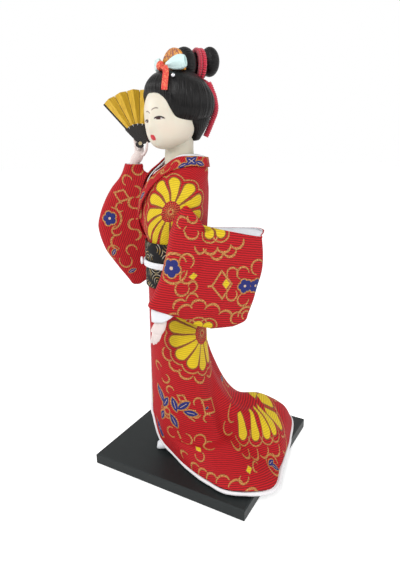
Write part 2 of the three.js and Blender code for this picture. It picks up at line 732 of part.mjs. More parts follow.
// The padded roll runs down the front edge, round the hem and up the edge of the lap beneath
function makeHemRoll() {
  const reach = HEM_ROLL_RADIUS + 1.6 * GAP;
  const middle = (CLOTH + GAP + LINING) / 2;
  const beside = (i, j, outward) => {
    const [u, v] = [i / SKIRT_ACROSS, j / SKIRT_DOWN];
    const { du, dv, normal } = slopes(skirtPoint, u, v);
    const out = { left: [dv, normal], right: [normal, dv], hem: [du, normal] };
    const away = outward.reduce((sum, way) =>
      sum.add(vec(0, 0, 0).crossVectors(...out[way]).normalize()), vec(0, 0, 0)).normalize();
    const point = skirtPoint(u, v).addScaledVector(normal, -middle).addScaledVector(away, reach);
    point.z = Math.max(point.z, STAND_THICK + GAP + HEM_ROLL_RADIUS);
    return point;
  };
  const count = (from, to) => Array.from({ length: Math.abs(to - from) + 1 },
    (_, k) => from + Math.sign(to - from) * k);
  const points = [
    ...count(1, SKIRT_DOWN).map((j) => beside(0, j, ['left'])),
    beside(0, SKIRT_DOWN, ['left', 'hem']),
    ...count(0, SKIRT_ACROSS).map((i) => beside(i, SKIRT_DOWN, ['hem'])),
    beside(SKIRT_ACROSS, SKIRT_DOWN, ['hem', 'right']),
    ...count(SKIRT_DOWN, LAP_ROLL_END).map((j) => beside(SKIRT_ACROSS, j, ['right'])),
  ];
  add('hem_roll', rope(points, HEM_ROLL_RADIUS, 6), WHITE_CLOTH());
}

// Sleeves: flattened rings hung from the arm, opened at the wrist and down the back edge

function sleeveSolid(rows, skew, shrink) {
  const rings = rows.map(([z, front, back, x, half], k) => {
    const ends = k === 0 ? shrink : (k === rows.length - 1 ? -shrink : 0);
    const halfY = Math.max((back - front) / 2 - shrink, 0.5);
    const flat = ring(z + ends, Math.max(half - shrink, 0.4), halfY, 0, 0, SLEEVE_SIDES, 1.5);
    return flat.map((p) => vec(x + p.x + skew * p.y, (front + back) / 2 + p.y, p.z));
  });
  return loft(rings);
}

const bustClearance = (extra) => loft(bustRings([152, 176, 188, 199, 209, 216, 221, 228],
  3 * GAP + extra, 18));

// A block across the figure, cut to an outline drawn in depth and height
function sideBlock(outline, from, to) {
  const shape = new THREE.Shape(outline.map(([y, z]) => new THREE.Vector2(y, z)));
  const block = new THREE.ExtrudeGeometry(shape, { depth: to - from, bevelEnabled: false });
  const turn = new THREE.Matrix4().makeBasis(vec(0, 1, 0), vec(0, 0, 1), vec(1, 0, 0));
  return block.applyMatrix4(turn).translate(from, 0, 0);
}

function makeSleeve(word, rows, skew, arm, openings) {
  const room = armTube(arm, GAP);
  const inside = CLOTH + GAP;
  const shell = cut(sleeveSolid(rows, skew, 0), sleeveSolid(rows, skew, CLOTH),
    bustClearance(0), room, ...openings);
  add(`${word}_sleeve`, shell, RED_BROCADE());
  const lining = cut(sleeveSolid(rows, skew, inside), sleeveSolid(rows, skew, inside + LINING),
    bustClearance(1), room, ...openings);
  add(`${word}_sleeve_lining`, lining, WHITE_CLOTH());
}

function makeSleeves() {
  const mouth = sideBlock(LEFT_MOUTH, MOUTH_FAR_SIDE, 60);
  const wrist = sideBlock(WRIST_CUT, 20, 60);
  makeSleeve('left', LEFT_SLEEVE, 0, LEFT_ARM, [mouth, wrist, cuffSolid(GAP)]);
  const [[cuffZ, front, back, x, half]] = RIGHT_SLEEVE.slice(-1);
  const cuff = loft([cuffZ - 3, cuffZ + 3].map((z) => ring(z, half - CLOTH, (back - front) / 2 - CLOTH,
    x, (front + back) / 2, SLEEVE_SIDES, 1.5)));
  makeSleeve('right', RIGHT_SLEEVE, RIGHT_SLEEVE_SKEW, RIGHT_ARM, [cuff]);
}

// White inner sleeve that hangs slanting round the left wrist
function cuffRings(grow) {
  return CUFF.map(([z, y, x, half, reach, slant], k) => ring(z, half + grow, reach + grow, x, y, 12)
    .map((p) => vec(p.x, p.y, p.z + slant * Math.max(0, p.y - CUFF_RISES_FROM) - (k ? grow : -grow))));
}

const cuffSolid = (grow) => loft(cuffRings(grow));

function makeCuff() {
  const past = [1.5, 0, -2];
  const hollow = cuffRings(-LINING).map((r, k) => r.map((p) => vec(p.x, p.y, p.z + past[k])));
  add('left_cuff', cut(cuffSolid(0), loft(hollow)), WHITE_CLOTH());
}

// Arms and hands

function makeArms() {
  add('left_arm', armTube(LEFT_ARM, 0), SKIN());
  add('right_arm', armTube(RIGHT_ARM, 0), SKIN());
}

function finger(from, bend, to, radius) {
  const radii = [radius, radius * 0.92, radius * 0.6];
  return limb([from, bend, to], radii, radii, 6);
}

function makeLeftHand() {
  const [x, y, z] = LEFT_ARM[3];
  const wrist = [x, y, z - GAP];
  const palm = limb([wrist, [x + 0.5, y - 1.2, z - 6], [x + 0.9, y - 3, z - 11], [x + 0.9, y - 4.2, z - 14]],
    [2.2, 2.2, 2.1, 1.5], [WRIST_RADIUS - 0.6, 3.6, 4, 3.2], 10, vec(0, -1, 0));
  const fingers = [-2.6, -0.9, 0.8, 2.4].map((side, k) => {
    const root = [x + 1.1, y - 4 + side, z - 12.4];
    const drop = [4.2, 5, 4.8, 4][k];
    return finger(root, [x + 1, y - 5 + side * 0.95, z - 12.4 - drop],
      [x + 0.3, y - 6 + side * 0.9, z - 12.4 - drop * 1.8], 0.95);
  });
  const thumb = finger([x - 0.2, y - 3.4, z - 6], [x - 1.4, y - 7, z - 9], [x - 1.6, y - 8.4, z - 12], 1.1);
  add('left_hand', join(palm, ...fingers, thumb), SKIN());
}

const fanNormal = vec(Math.cos(rad(FAN_FACES)), Math.sin(rad(FAN_FACES)), 0);
const fanSide = vec(-Math.sin(rad(FAN_FACES)), Math.cos(rad(FAN_FACES)), 0);

// A place on the fan: angle from the vertical, distance from the rivet, height off its middle
function fanPoint(angle, radius, lift) {
  return vec(...FAN_AT).addScaledVector(vec(0, 0, 1), radius * Math.cos(rad(angle)))
    .addScaledVector(fanSide, radius * Math.sin(rad(angle)))
    .addScaledVector(fanNormal, lift);
}

const FAN_HALF_STACK = ((FAN_STICKS - 1) * STICK_PITCH + STICK_THICK) / 2;
const RIVET_HEAD = 0.5;

function makeRightHand() {
  const [x, y, z] = RIGHT_ARM[3];
  const behind = -(FAN_HALF_STACK + RIVET_HEAD + GAP);
  const at = (side, up, lift) => fanPoint(0, 0, lift).addScaledVector(fanSide, side)
    .add(vec(0, 0, up)).toArray();
  const palm = limb([[x, y, z + GAP], [x + 0.2, y + 0.6, z + 6], at(-1.6, -9, -1.6), at(-0.6, -5.4, -2.6)],
    [WRIST_RADIUS - 1.1, 2.7, 3, 2.2], [WRIST_RADIUS - 0.4, 3.6, 4, 3], 12, vec(0, -1, 0));
  const fingers = [-3.2, -1.5, 0.2, 1.9].map((side, k) => {
    const reach = [3.2, 4.6, 4.8, 3.8][k];
    return finger(at(side, -7.4, -2.4), at(side - 0.4, -1, behind - 1.1),
      at(side - 1, reach, behind - 1), 1);
  });
  const inFront = FAN_HALF_STACK + RIVET_HEAD + GAP + 1.1;
  const thumb = finger(at(1.6, -8.6, -0.4), at(4, -5, inFront * 0.7), at(5.2, 1.2, inFront), 1.1);
  add('right_hand', join(palm, ...fingers, thumb), SKIN());
}

// Head, hair and what is in it

function skullRing(row, grow, sides) {
  const [z, half, front, back] = row;
  const points = ring(z, half + grow, (back - front) / 2 + grow, 0, (back + front) / 2, sides);
  return points.map((p) => {
    const facing = Math.max(0, -p.y / 24);
    const across = p.x * Math.cos(rad(FACE_TURN)) + p.y * Math.sin(rad(FACE_TURN));
    const bulge = (size, x, wide, at, high) =>
      size * Math.exp(-(((x / wide) ** 2))) * Math.exp(-(((z - at) / high) ** 2));
    const relief = facing * (bulge(NOSE_OUT, across, 2.6, NOSE_Z, 3.4)
      + bulge(LIP_OUT, across, 3.4, LIP_Z, 1.8)
      - bulge(EYE_DEEP, Math.abs(across) - EYE_APART, 3.4, EYE_Z, 3));
    return vec(p.x + relief * Math.sin(rad(FACE_TURN)), p.y - relief * Math.cos(rad(FACE_TURN)), z);
  });
}

const skullLevels = [235.6, 236.8, 239.4, 241.4, 243.4, 246, 248.4, 251, 254.4, 258, 264, 272, 278.6,
  280.6];

function skullSolid(grow, sides) {
  return loft(skullLevels.map((z, k) => {
    const lift = k === 0 ? -grow : (k === skullLevels.length - 1 ? grow : 0);
    return skullRing([z, ...readTable(SKULL, z)], grow, sides)
      .map((p) => vec(p.x, p.y, p.z + lift));
  }));
}

function neckSolid(grow, low) {
  const jaw = SKULL[0][0] + 0.4;
  const top = jaw + 14;
  return turned([
    [0, low], [NECK_RADIUS + grow, low], [NECK_RADIUS - 0.4 + grow, jaw],
    [NECK_RADIUS - 0.2 + grow, top], [0, top],
  ], 24);
}

function makeHead() {
  const peg = turned([
    [0, NECK_SEAT_Z - NECK_PEG_LENGTH], [NECK_PEG_RADIUS, NECK_SEAT_Z - NECK_PEG_LENGTH],
    [NECK_PEG_RADIUS, NECK_SEAT_Z + 2], [0, NECK_SEAT_Z + 2],
  ], 16);
  const face = join(skullSolid(0, 28), neckSolid(0, NECK_SEAT_Z + GAP), peg);
  add('head', face, SKIN(), head);
}

function makeHair() {
  const mass = loft(HAIR.map((row) => ring(row[0], row[1], (row[3] - row[2]) / 2, 0,
    (row[3] + row[2]) / 2, 24)));
  const nape = loft(NAPE.map((row) => ring(row[0], row[1], (row[3] - row[2]) / 2, 0,
    (row[3] + row[2]) / 2, 20)));
  const room = [CORD_LOOP_Y - CORD_RADIUS - 2, CORD_LOOP_Y + 12].map((y) =>
    Array.from({ length: 16 }, (_, i) => {
      const a = (2 * Math.PI * i) / 16;
      const reach = CORD_RADIUS + 1.5 * GAP;
      return vec((CORD_LOOP_WIDE + reach) * Math.cos(a), y, LOBE.z + (CORD_LOOP_HIGH + reach) * Math.sin(a));
    }));
  const rooms = [skullSolid(GAP, 20), neckSolid(GAP, NAPE[0][0] - 10), faceOpening(), loft(room)];
  add('hair_cap', cut(join(mass, nape), ...rooms), BLACK_HAIR(), head);
}

// What the hair leaves free of the face: it widens outwards from the hairline
function faceOpening() {
  const line = [...HAIRLINE, ...HAIRLINE.slice().reverse().map(([angle, z]) => [-angle, z])];
  const [x, y, z] = HAIRLINE_CENTRE;
  const rings = [-7, 0, 7, 15].map((past) => line.map(([angle, height]) => {
    const radius = HAIRLINE_RADIUS + past;
    const turn = rad(angle * (1 + past * HAIRLINE_SLANT));
    const rise = ((height - z) * radius) / HAIRLINE_RADIUS;
    return vec(x + radius * Math.sin(turn), y - radius * Math.cos(turn), z + rise);
  }));
  rings.push(rings[3].map((p) => vec(p.x, y - 3 * HAIRLINE_RADIUS, p.z)));
  return loft(rings);
}

function hairClearance() {
  return loft(HAIR.map((row, k) => ring(row[0] + (k === HAIR.length - 1 ? GAP : 0), row[1] + GAP,
    (row[3] - row[2]) / 2 + GAP, 0, (row[3] + row[2]) / 2, 24)));
}

function makeTopknot() {
  const lobe = ellipsoid(LOBE.wide, LOBE.deep, LOBE.high, 0, LOBE.y, LOBE.z, 16, 10);
  const waistEnd = BUN.y - BUN.deep + 1;
  const wide = CORD_LOOP_WIDE - CORD_RADIUS - GAP - 0.1;
  const high = CORD_LOOP_HIGH - CORD_RADIUS - GAP - 0.1;
  const waist = loft([LOBE.y, waistEnd].map((y) => Array.from({ length: 16 }, (_, i) => {
    const a = (2 * Math.PI * i) / 16;
    return vec(wide * Math.cos(a), y, LOBE.z + high * Math.sin(a));
  })));
  const roomStart = CORD_LOOP_Y - CORD_RADIUS - GAP;
  const roomSide = 4 * LOBE.high;
  const cordRoom = new THREE.BoxGeometry(roomSide, waistEnd + 0.1 - roomStart, roomSide)
    .translate(0, (waistEnd + 0.1 + roomStart) / 2, LOBE.z);
  const front = cut(join(cut(lobe, cordRoom), waist), hairClearance());
  add('topknot_front', front, BLACK_HAIR(), head);
  const bun = ellipsoid(BUN.wide, BUN.deep, BUN.high, 0, BUN.y, BUN.z, 16, 10);
  const seatSide = 4 * BUN.high;
  const seat = new THREE.BoxGeometry(seatSide, seatSide, seatSide)
    .translate(0, waistEnd + GAP - seatSide / 2, BUN.z);
  add('topknot_rear', cut(bun, seat), BLACK_HAIR(), head);
}

function makeHairCord() {
  const total = CORD_TURNS * CORD_STEPS;
  const points = [];
  for (let i = 0; i <= total; i += 1) {
    const a = (2 * Math.PI * i) / CORD_STEPS - Math.PI / 2;
    const y = CORD_LOOP_Y + (i / CORD_STEPS) * (2 * CORD_RADIUS + CORD_SPACING)
      - (2 * CORD_RADIUS + CORD_SPACING) / 2;
    points.push(vec(CORD_LOOP_WIDE * Math.cos(a), y, LOBE.z + CORD_LOOP_HIGH * Math.sin(a)));
  }
  points.push(...CORD_END.map(([x, y, z]) => vec(x, y, HAIR_TOP + z)));
  let least = Infinity;
  points.forEach((p, i) => points.forEach((q, j) => {
    if (j - i > CORD_STEPS / 3) {
      least = Math.min(least, p.distanceTo(q) - 2 * CORD_RADIUS);
    }
  }));
  console.log(`least gap of the hair cord to itself: ${least.toFixed(2)} mm`);
  add('hair_cord', tube(points, CORD_RADIUS, CORD_SIDES, total + 2), CRIMSON_CORD(), head);
  const tail = TAIL_PATH.map(([angle, r, z]) => vec(r * Math.sin(rad(angle)), -r * Math.cos(rad(angle)), z));
  add('hair_cord_tail', tube(tail, CORD_RADIUS, 8, 18), CRIMSON_CORD(), head);
}

function makeOrnaments() {
  const arch = new THREE.Shape();
  arch.moveTo(-COMB.radius, 0);
  for (let i = 1; i <= 16; i += 1) {
    const a = Math.PI - (Math.PI * i) / 16;
    arch.lineTo(COMB.radius * Math.cos(a), COMB.high * Math.sin(a));
  }
  arch.closePath();
  const comb = new THREE.ExtrudeGeometry(arch, { depth: COMB.thick, bevelEnabled: false })
    .rotateX(Math.PI / 2).translate(0, COMB.y, COMB.z);
  const lobeRoom = ellipsoid(LOBE.wide + GAP, LOBE.deep + GAP, LOBE.high + GAP, 0, LOBE.y, LOBE.z, 20, 12);
  add('comb', cut(comb, hairClearance(), lobeRoom), material(0xc88a20, 0.4, 0.3), head);
  const combRoom = new THREE.BoxGeometry(3 * COMB.radius, COMB.thick + 2 * GAP, 3 * COMB.radius)
    .translate(0, COMB.y - COMB.thick / 2, COMB.z);
  const [knot, knotRoom] = [0, GAP].map((grow) => {
    const [wide, deep, high] = BOW_KNOT.map((half) => half + grow);
    return ellipsoid(wide, deep, high, 0, BOW.y, BOW.z, 12, 8);
  });
  [-1, 1].forEach((side) => {
    const loop = ellipsoid(...BOW_LOOP, 0, 0, 0, 12, 8).rotateY(rad(BOW_LOOP_DROOP * side))
      .rotateZ(rad(BOW_LOOP_SWEEP * side)).translate(side * BOW.loopX, BOW.loopY, BOW.loopZ);
    add(`bow_${side < 0 ? 'right' : 'left'}`, cut(loop, hairClearance(), combRoom, knotRoom, lobeRoom),
      material(0xc8dcdc, 0.5), head);
  });
  add('bow_knot', cut(knot, hairClearance()), material(0xc83c3c, 0.6), head);
  const ribbon = RIBBON_TAIL.map(([x, y, z]) => [x, y, HAIR_TOP + z]);
  const tail = limb(ribbon, ribbon.map(() => RIBBON_WIDTH / 2), ribbon.map(() => RIBBON_THICK / 2),
    8, vec(0.5, -1, 0.7).normalize());
  add('bow_tail', cut(tail, hairClearance(), knotRoom), material(0xc83c3c, 0.6), head);
  const pin = ellipsoid(HAIR_PIN_RADIUS, HAIR_PIN_RADIUS, HAIR_PIN_RADIUS, ...HAIR_PIN_AT, 10, 8);
  add('hair_pin', cut(pin, hairClearance()), STEEL(), head);
}

// Fan

function stickGeometry(index) {
  const guard = index === 0 || index === FAN_STICKS - 1;
  const width = STICK_WIDTH;
  const end = guard ? FAN_RADIUS : FAN_RADIUS - 1;
  const neck = LEAF_INNER - 0.4;
  const rib = guard ? RIB_WIDTH * 1.5 : RIB_WIDTH;
  const outline = [
    [-width * 0.3, -STICK_TAIL], [width * 0.3, -STICK_TAIL], [width / 2, -STICK_TAIL + 1.4],
    [width * 0.46, 3], [width * 0.6, neck], [rib / 2, neck + 1.2], [rib / 2, end], [-rib / 2, end],
    [-rib / 2, neck + 1.2], [-width * 0.6, neck], [-width * 0.46, 3], [-width / 2, -STICK_TAIL + 1.4],
  ];
  const shape = new THREE.Shape(outline.map((p) => new THREE.Vector2(...p)));
  const hole = new THREE.Path();
  const holeRadius = RIVET_RADIUS + RIVET_CLEARANCE;
  for (let i = 0; i < 8; i += 1) {
    const a = (2 * Math.PI * i) / 8;
    hole[i ? 'lineTo' : 'moveTo'](holeRadius * Math.cos(a), holeRadius * Math.sin(a));
  }
  hole.closePath();
  shape.holes.push(hole);
  return new THREE.ExtrudeGeometry(shape, { depth: STICK_THICK, bevelEnabled: false });
}

const stickAngle = (i) => FAN_FIRST + i * FAN_STEP;
const stickLift = (i) => (i - (FAN_STICKS - 1) / 2) * STICK_PITCH;

// Turns a shape drawn in the fan's plane, up along +Y, into its place
function ontoFan(geometry, angle, lift) {
  const turn = new THREE.Matrix4().makeBasis(fanSide, vec(0, 0, 1), fanNormal);
  geometry.rotateZ(rad(-angle));
  geometry.translate(0, 0, lift);
  return geometry.applyMatrix4(turn).translate(...FAN_AT);
}

function makeFan() {
  for (let i = 0; i < FAN_STICKS; i += 1) {
    const name = i === 0 ? 'fan_guard_rear' : (i === FAN_STICKS - 1 ? 'fan_guard_front' : `fan_stick_${i}`);
    const lift = stickLift(i) - STICK_THICK / 2;
    add(name, ontoFan(stickGeometry(i), stickAngle(i), lift), BLACK_LACQUER());
  }
  for (let i = 0; i < FAN_STICKS - 1; i += 1) {
    const clearance = STICK_THICK / 2 + 0.12;
    const at = (u, v) => {
      const radius = lerp(FAN_RADIUS, LEAF_INNER, v);
      const apart = (0.16 / radius) * (180 / Math.PI);
      const angle = lerp(stickAngle(i) + apart, stickAngle(i + 1) - apart, u);
      const crest = PLEAT_SHARE * radius * (1 - Math.abs(2 * u - 1));
      const lift = lerp(stickLift(i), stickLift(i + 1), u) + clearance + LEAF_THICK + crest;
      return fanPoint(angle, radius, lift);
    };
    add(`fan_leaf_${i + 1}`, leafBody(at), GOLD_PAPER());
  }
  const half = FAN_HALF_STACK + 0.1;
  const rivet = new THREE.LatheGeometry([
    [0, -half - RIVET_HEAD], [1.3, -half - RIVET_HEAD], [1.3, -half], [RIVET_RADIUS, -half],
    [RIVET_RADIUS, half], [1.3, half], [1.3, half + RIVET_HEAD], [0, half + RIVET_HEAD],
  ].map((p) => new THREE.Vector2(...p)), 10).rotateX(Math.PI / 2);
  add('fan_rivet', ontoFan(rivet, 0, 0), STEEL());
}

function leafBody(at) {
  const rows = [0, 1].map((v) => [0, 0.5, 1].map((u) => at(u, v)));
  const lower = (p) => p.clone().addScaledVector(fanNormal, -LEAF_THICK);
  const points = [...rows[0], ...rows[1], ...rows[0].map(lower), ...rows[1].map(lower)];
  const faces = [];
  const quad = (a, b, c, d) => faces.push([a, b, c], [a, c, d]);
  quad(0, 1, 4, 3);
  quad(1, 2, 5, 4);
  quad(6, 9, 10, 7);
  quad(7, 10, 11, 8);
  quad(0, 6, 7, 1);
  quad(1, 7, 8, 2);
  quad(3, 4, 10, 9);
  quad(4, 5, 11, 10);
  quad(0, 3, 9, 6);
  quad(2, 8, 11, 5);
  return body(points, faces);
}

makeStand();
makeLeg(1, 'left');
makeLeg(-1, 'right');
makeTorso();
makeBodice();
makeCollars();
makeObi();
makeSkirt();
makeHemRoll();
makeSleeves();
makeCuff();
makeArms();
makeLeftHand();
makeRightHand();
makeHead();
makeHair();
makeTopknot();
makeHairCord();
makeOrnaments();
makeFan();

export default figure;
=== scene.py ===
# %% [markdown]
# # A costume doll in a brocade kimono
#
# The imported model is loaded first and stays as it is. Every cloth, hair and paper piece below
# is built over the solid that it stands for, in the same frame, and rides on the same body.

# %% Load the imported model
from functools import partialmethod
from math import atan2, cos, exp, pi, radians, sin, sqrt

import bmesh
import bpy
from mathutils import Matrix, Vector


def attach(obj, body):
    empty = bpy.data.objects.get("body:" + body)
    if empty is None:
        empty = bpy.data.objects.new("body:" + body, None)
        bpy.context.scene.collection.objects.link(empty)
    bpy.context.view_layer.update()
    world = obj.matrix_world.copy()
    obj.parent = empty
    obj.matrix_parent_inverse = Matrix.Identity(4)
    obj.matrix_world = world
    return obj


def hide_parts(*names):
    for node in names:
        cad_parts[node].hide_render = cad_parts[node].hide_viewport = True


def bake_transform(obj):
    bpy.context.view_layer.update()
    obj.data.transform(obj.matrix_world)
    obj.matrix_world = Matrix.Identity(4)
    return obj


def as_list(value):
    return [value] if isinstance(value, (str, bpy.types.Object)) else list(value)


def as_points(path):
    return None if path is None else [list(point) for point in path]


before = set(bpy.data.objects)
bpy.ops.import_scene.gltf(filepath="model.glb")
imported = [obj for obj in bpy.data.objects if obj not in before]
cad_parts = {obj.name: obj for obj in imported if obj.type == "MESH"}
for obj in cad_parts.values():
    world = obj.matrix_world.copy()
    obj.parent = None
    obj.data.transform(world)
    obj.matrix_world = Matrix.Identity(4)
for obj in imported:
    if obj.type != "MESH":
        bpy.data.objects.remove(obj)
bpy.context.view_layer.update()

MM = 0.001

# %% [markdown]
# The camera repeats the photograph: a little above the doll's waist, on its left side. The
# picture is 400 by 570, so the lens is worked out for a frame whose long side is its height.

# %% Camera
EYE = Vector((337.8, -101.4, 249.6)) * MM
AZIMUTH, DOWN = radians(74.1), radians(17.6)
FOCUS_PX, FRAME_PX, SENSOR = 500, 570, 36

back = Vector((sin(AZIMUTH) * cos(DOWN), -cos(AZIMUTH) * cos(DOWN), sin(DOWN)))
right = Vector((cos(AZIMUTH), sin(AZIMUTH), 0))
camera_data = bpy.data.cameras.new("camera")
camera_data.sensor_width = SENSOR
camera_data.lens = FOCUS_PX / FRAME_PX * SENSOR
camera_data.clip_start = 0.01
camera = bpy.data.objects.new("camera", camera_data)
turn = Matrix((right, back.cross(right), back)).transposed()
camera.matrix_world = Matrix.Translation(EYE) @ turn.to_4x4()
bpy.context.scene.collection.objects.link(camera)
bpy.context.scene.camera = camera
print("lens, mm", round(camera_data.lens, 1))

# %% [markdown]
# The doll's sizes are kept as short tables in millimetres, the same ones that its solids were
# made from. A table is read smoothly between its rows, so a few rows describe a whole form.

# %% Sizes shared with the solids
GAP, CLOTH, LINING = 0.3, 0.8, 0.5
BODY_Y, NECK_Y, HEAD_TURN = -22.2, -19.6, radians(20)
STAND_THICK = 9
OBI_LOW, OBI_HIGH, OBI_WALL = 142, 174, 1.4
OBI_CORD_Z, OBI_CORD_HIGH, OBI_CORD_WALL = 158.5, 4.4, 1.1
SKIRT_TOP, UNDER_PANEL_INSET = 150.6, 3.6
BUST = [
    (118, 19.5, 20.6, -0.3), (152, 19.5, 20.8, 0), (175, 19.5, 20.8, 0), (180, 20.6, 22, -0.6),
    (188, 21.8, 23, -1.2), (199, 23, 23, -0.8), (209, 23.6, 22.2, 0), (216, 22, 21, 0.8),
    (221, 18.5, 19.6, 2.6), (226, 14.8, 17, 4.6), (232, 13.4, 15, 5.6),
]
NECKLINE = [
    (180, 229.5, 223), (135, 230.5, 224.2), (90, 231.4, 225), (58, 230, 222), (34, 223, 213.5),
    (16, 212.5, 202), (0, 202, 190.5), (-16, 190.5, 178), (-26, 180, 175.6),
]
UNDER_COLLAR_SHOWS = 0.9
print("bust rows", len(BUST), "neckline rows", len(NECKLINE))

# %% [markdown]
# A place between two rows is found with a curve through them and their neighbours. The bust and
# the head each get a function of their own, because most pieces are laid on one of the two.

# %% Reading the tables
def lerp(a, b, t):
    return a + (b - a) * t


def smooth(x, low, high):
    t = min(max((x - low) / (high - low), 0), 1)
    return t * t * (3 - 2 * t)


def read_table(rows, at):
    """A row of a table at a place on its first column, smoothly between the rows."""
    last = len(rows) - 1
    rising = rows[last][0] > rows[0][0]
    i = 0
    while i < last - 1 and (at > rows[i + 1][0] if rising else at < rows[i + 1][0]):
        i += 1
    span = rows[i + 1][0] - rows[i][0]
    t = min(max((at - rows[i][0]) / span, 0), 1)
    before, after = rows[max(i - 1, 0)], rows[min(i + 2, last)]
    found = []
    for k in range(1, len(rows[i])):
        start, end = rows[i][k], rows[i + 1][k]
        slope = (end - start) / span
        into = (end - before[k]) / (rows[i + 1][0] - before[0]) if i > 0 else slope
        out = (after[k] - start) / (after[0] - rows[i][0]) if i < last - 1 else slope
        found.append(start + (t ** 3 - 2 * t * t + t) * span * into
                     + (3 * t * t - 2 * t ** 3) * (end - start) + (t ** 3 - t * t) * span * out)
    return found


def on_bust(angle, z, off=0.0):
    half, depth, shift = read_table(BUST, z)
    a = radians(angle)
    return Vector(((half + off) * sin(a), BODY_Y + shift - (depth + off) * cos(a), z))


def on_head(x, y, z):
    """A place given before the head is turned."""
    return Vector((cos(HEAD_TURN) * x - sin(HEAD_TURN) * y,
                   NECK_Y + sin(HEAD_TURN) * x + cos(HEAD_TURN) * y, z))


print("bust at the sash, half width and half depth, mm", [round(n, 1) for n in read_table(BUST, 158)[:2]])

# %% [markdown]
# Cloth, hair and ribbon all start as a flat grid, which is then laid on a form: each vertex of
# the grid is asked where it goes. The grid also gives the piece its cloth coordinates, a UV map
# measured in millimetres along the real surface, so that a woven pattern follows every fold.

# %% Lengths along the cloth
def cloth_lengths(points, across, down, column):
    """Millimetres along each row from one column, and down each column from the middle row."""
    middle = down // 2
    rows, drops = {}, {}
    for j in range(down + 1):
        length = [0.0]
        for i in range(across):
            length.append(length[-1] + (points[i + 1, j] - points[i, j]).length)
        for i in range(across + 1):
            rows[i, j] = length[i] - length[column]
    for i in range(across + 1):
        length = [0.0]
        for j in range(down):
            length.append(length[-1] + (points[i, j + 1] - points[i, j]).length)
        for j in range(down + 1):
            drops[i, j] = length[middle] - length[j]
    return {key: (rows[key], drops[key]) for key in rows}

# %% [markdown]
# The grid itself comes from Blender's own operator. Its seam is merged where it closes on itself,
# and its faces are turned away from a place inside the form.

# %% A grid laid on a form
def laid_grid(across, down, place, closed=False, column=0.25, outward=None, hanging=False,
              capped=False):
    """A bmesh grid with each vertex moved to place(u, v), in millimetres, and its UV map.

    On a hanging panel the map starts from the panel's own depth and height."""
    shape = bmesh.new()
    bmesh.ops.create_grid(shape, x_segments=across, y_segments=down, size=0.5)
    points, index = {}, {}
    for vertex in shape.verts:
        i, j = round((vertex.co.x + 0.5) * across), round((0.5 - vertex.co.y) * down)
        points[i, j] = place(i / across, j / down)
        index[vertex] = i, j
    start = round(column * across)
    cloth = cloth_lengths(points, across, down, start)
    if hanging:
        cloth = {(i, j): (points[start, j].y + x, points[i, j].z) for (i, j), (x, _) in cloth.items()}
    uv = shape.loops.layers.uv.new("cloth")
    for face in shape.faces:
        for loop in face.loops:
            loop[uv].uv = cloth[index[loop.vert]]
    for vertex, key in index.items():
        vertex.co = points[key] * MM
    if closed:
        bmesh.ops.remove_doubles(shape, verts=shape.verts, dist=1e-6)
    shape.normal_update()
    if outward is not None:
        middle = Vector(outward) * MM
        if sum(f.normal.dot(f.calc_center_median() - middle) * f.calc_area() for f in shape.faces) < 0:
            bmesh.ops.reverse_faces(shape, faces=shape.faces)
    if capped:
        bmesh.ops.holes_fill(shape, edges=shape.edges, sides=0)
    if outward is None:
        bmesh.ops.recalc_face_normals(shape, faces=shape.faces)
    return shape

# %% [markdown]
# Every finished piece goes through one function. It gives the mesh its material and, for cloth,
# a wall, ties it to the body it moves with and hides the solid it stands for. A large cloth has
# its pattern in patches, and each face takes the patch that its middle lies in.

# %% Keeping a finished piece
pieces = {}


def keep(name, shape, paint, body, replaces=(), slot=None, wall=0.0, smooth_faces=True):
    """Turns a bmesh into a piece with all that belongs to it."""
    mesh = bpy.data.meshes.new(name)
    shape.to_mesh(mesh)
    shape.free()
    patches = paint if isinstance(paint, list) else [(None, paint)]
    for _, patch_paint in patches:
        mesh.materials.append(patch_paint)
    for polygon in mesh.polygons:
        polygon.use_smooth = smooth_faces
        if len(patches) > 1:
            spots = [mesh.uv_layers["cloth"].uv[n].vector for n in polygon.loop_indices]
            x, y = [sum(spot[k] for spot in spots) / len(spots) for k in range(2)]
            polygon.material_index = next(n for n, (box, _) in enumerate(patches)
                                          if box[0] <= x < box[1] and box[2] <= y < box[3])
    piece = bpy.data.objects.new(name, mesh)
    bpy.context.scene.collection.objects.link(piece)
    if wall:
        solid = piece.modifiers.new("wall", "SOLIDIFY")
        solid.thickness = wall * MM
        solid.offset = -1
    if body:
        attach(piece, body)
    if replaces:
        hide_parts(*replaces)
    pieces[name] = piece
    print(name, "faces", len(mesh.polygons))
    return piece

# %% [markdown]
# Patterns on this cloth are drawn with numbers rather than pictures. A small set of node
# helpers keeps that readable: each one adds a Math node and gives back its output socket.

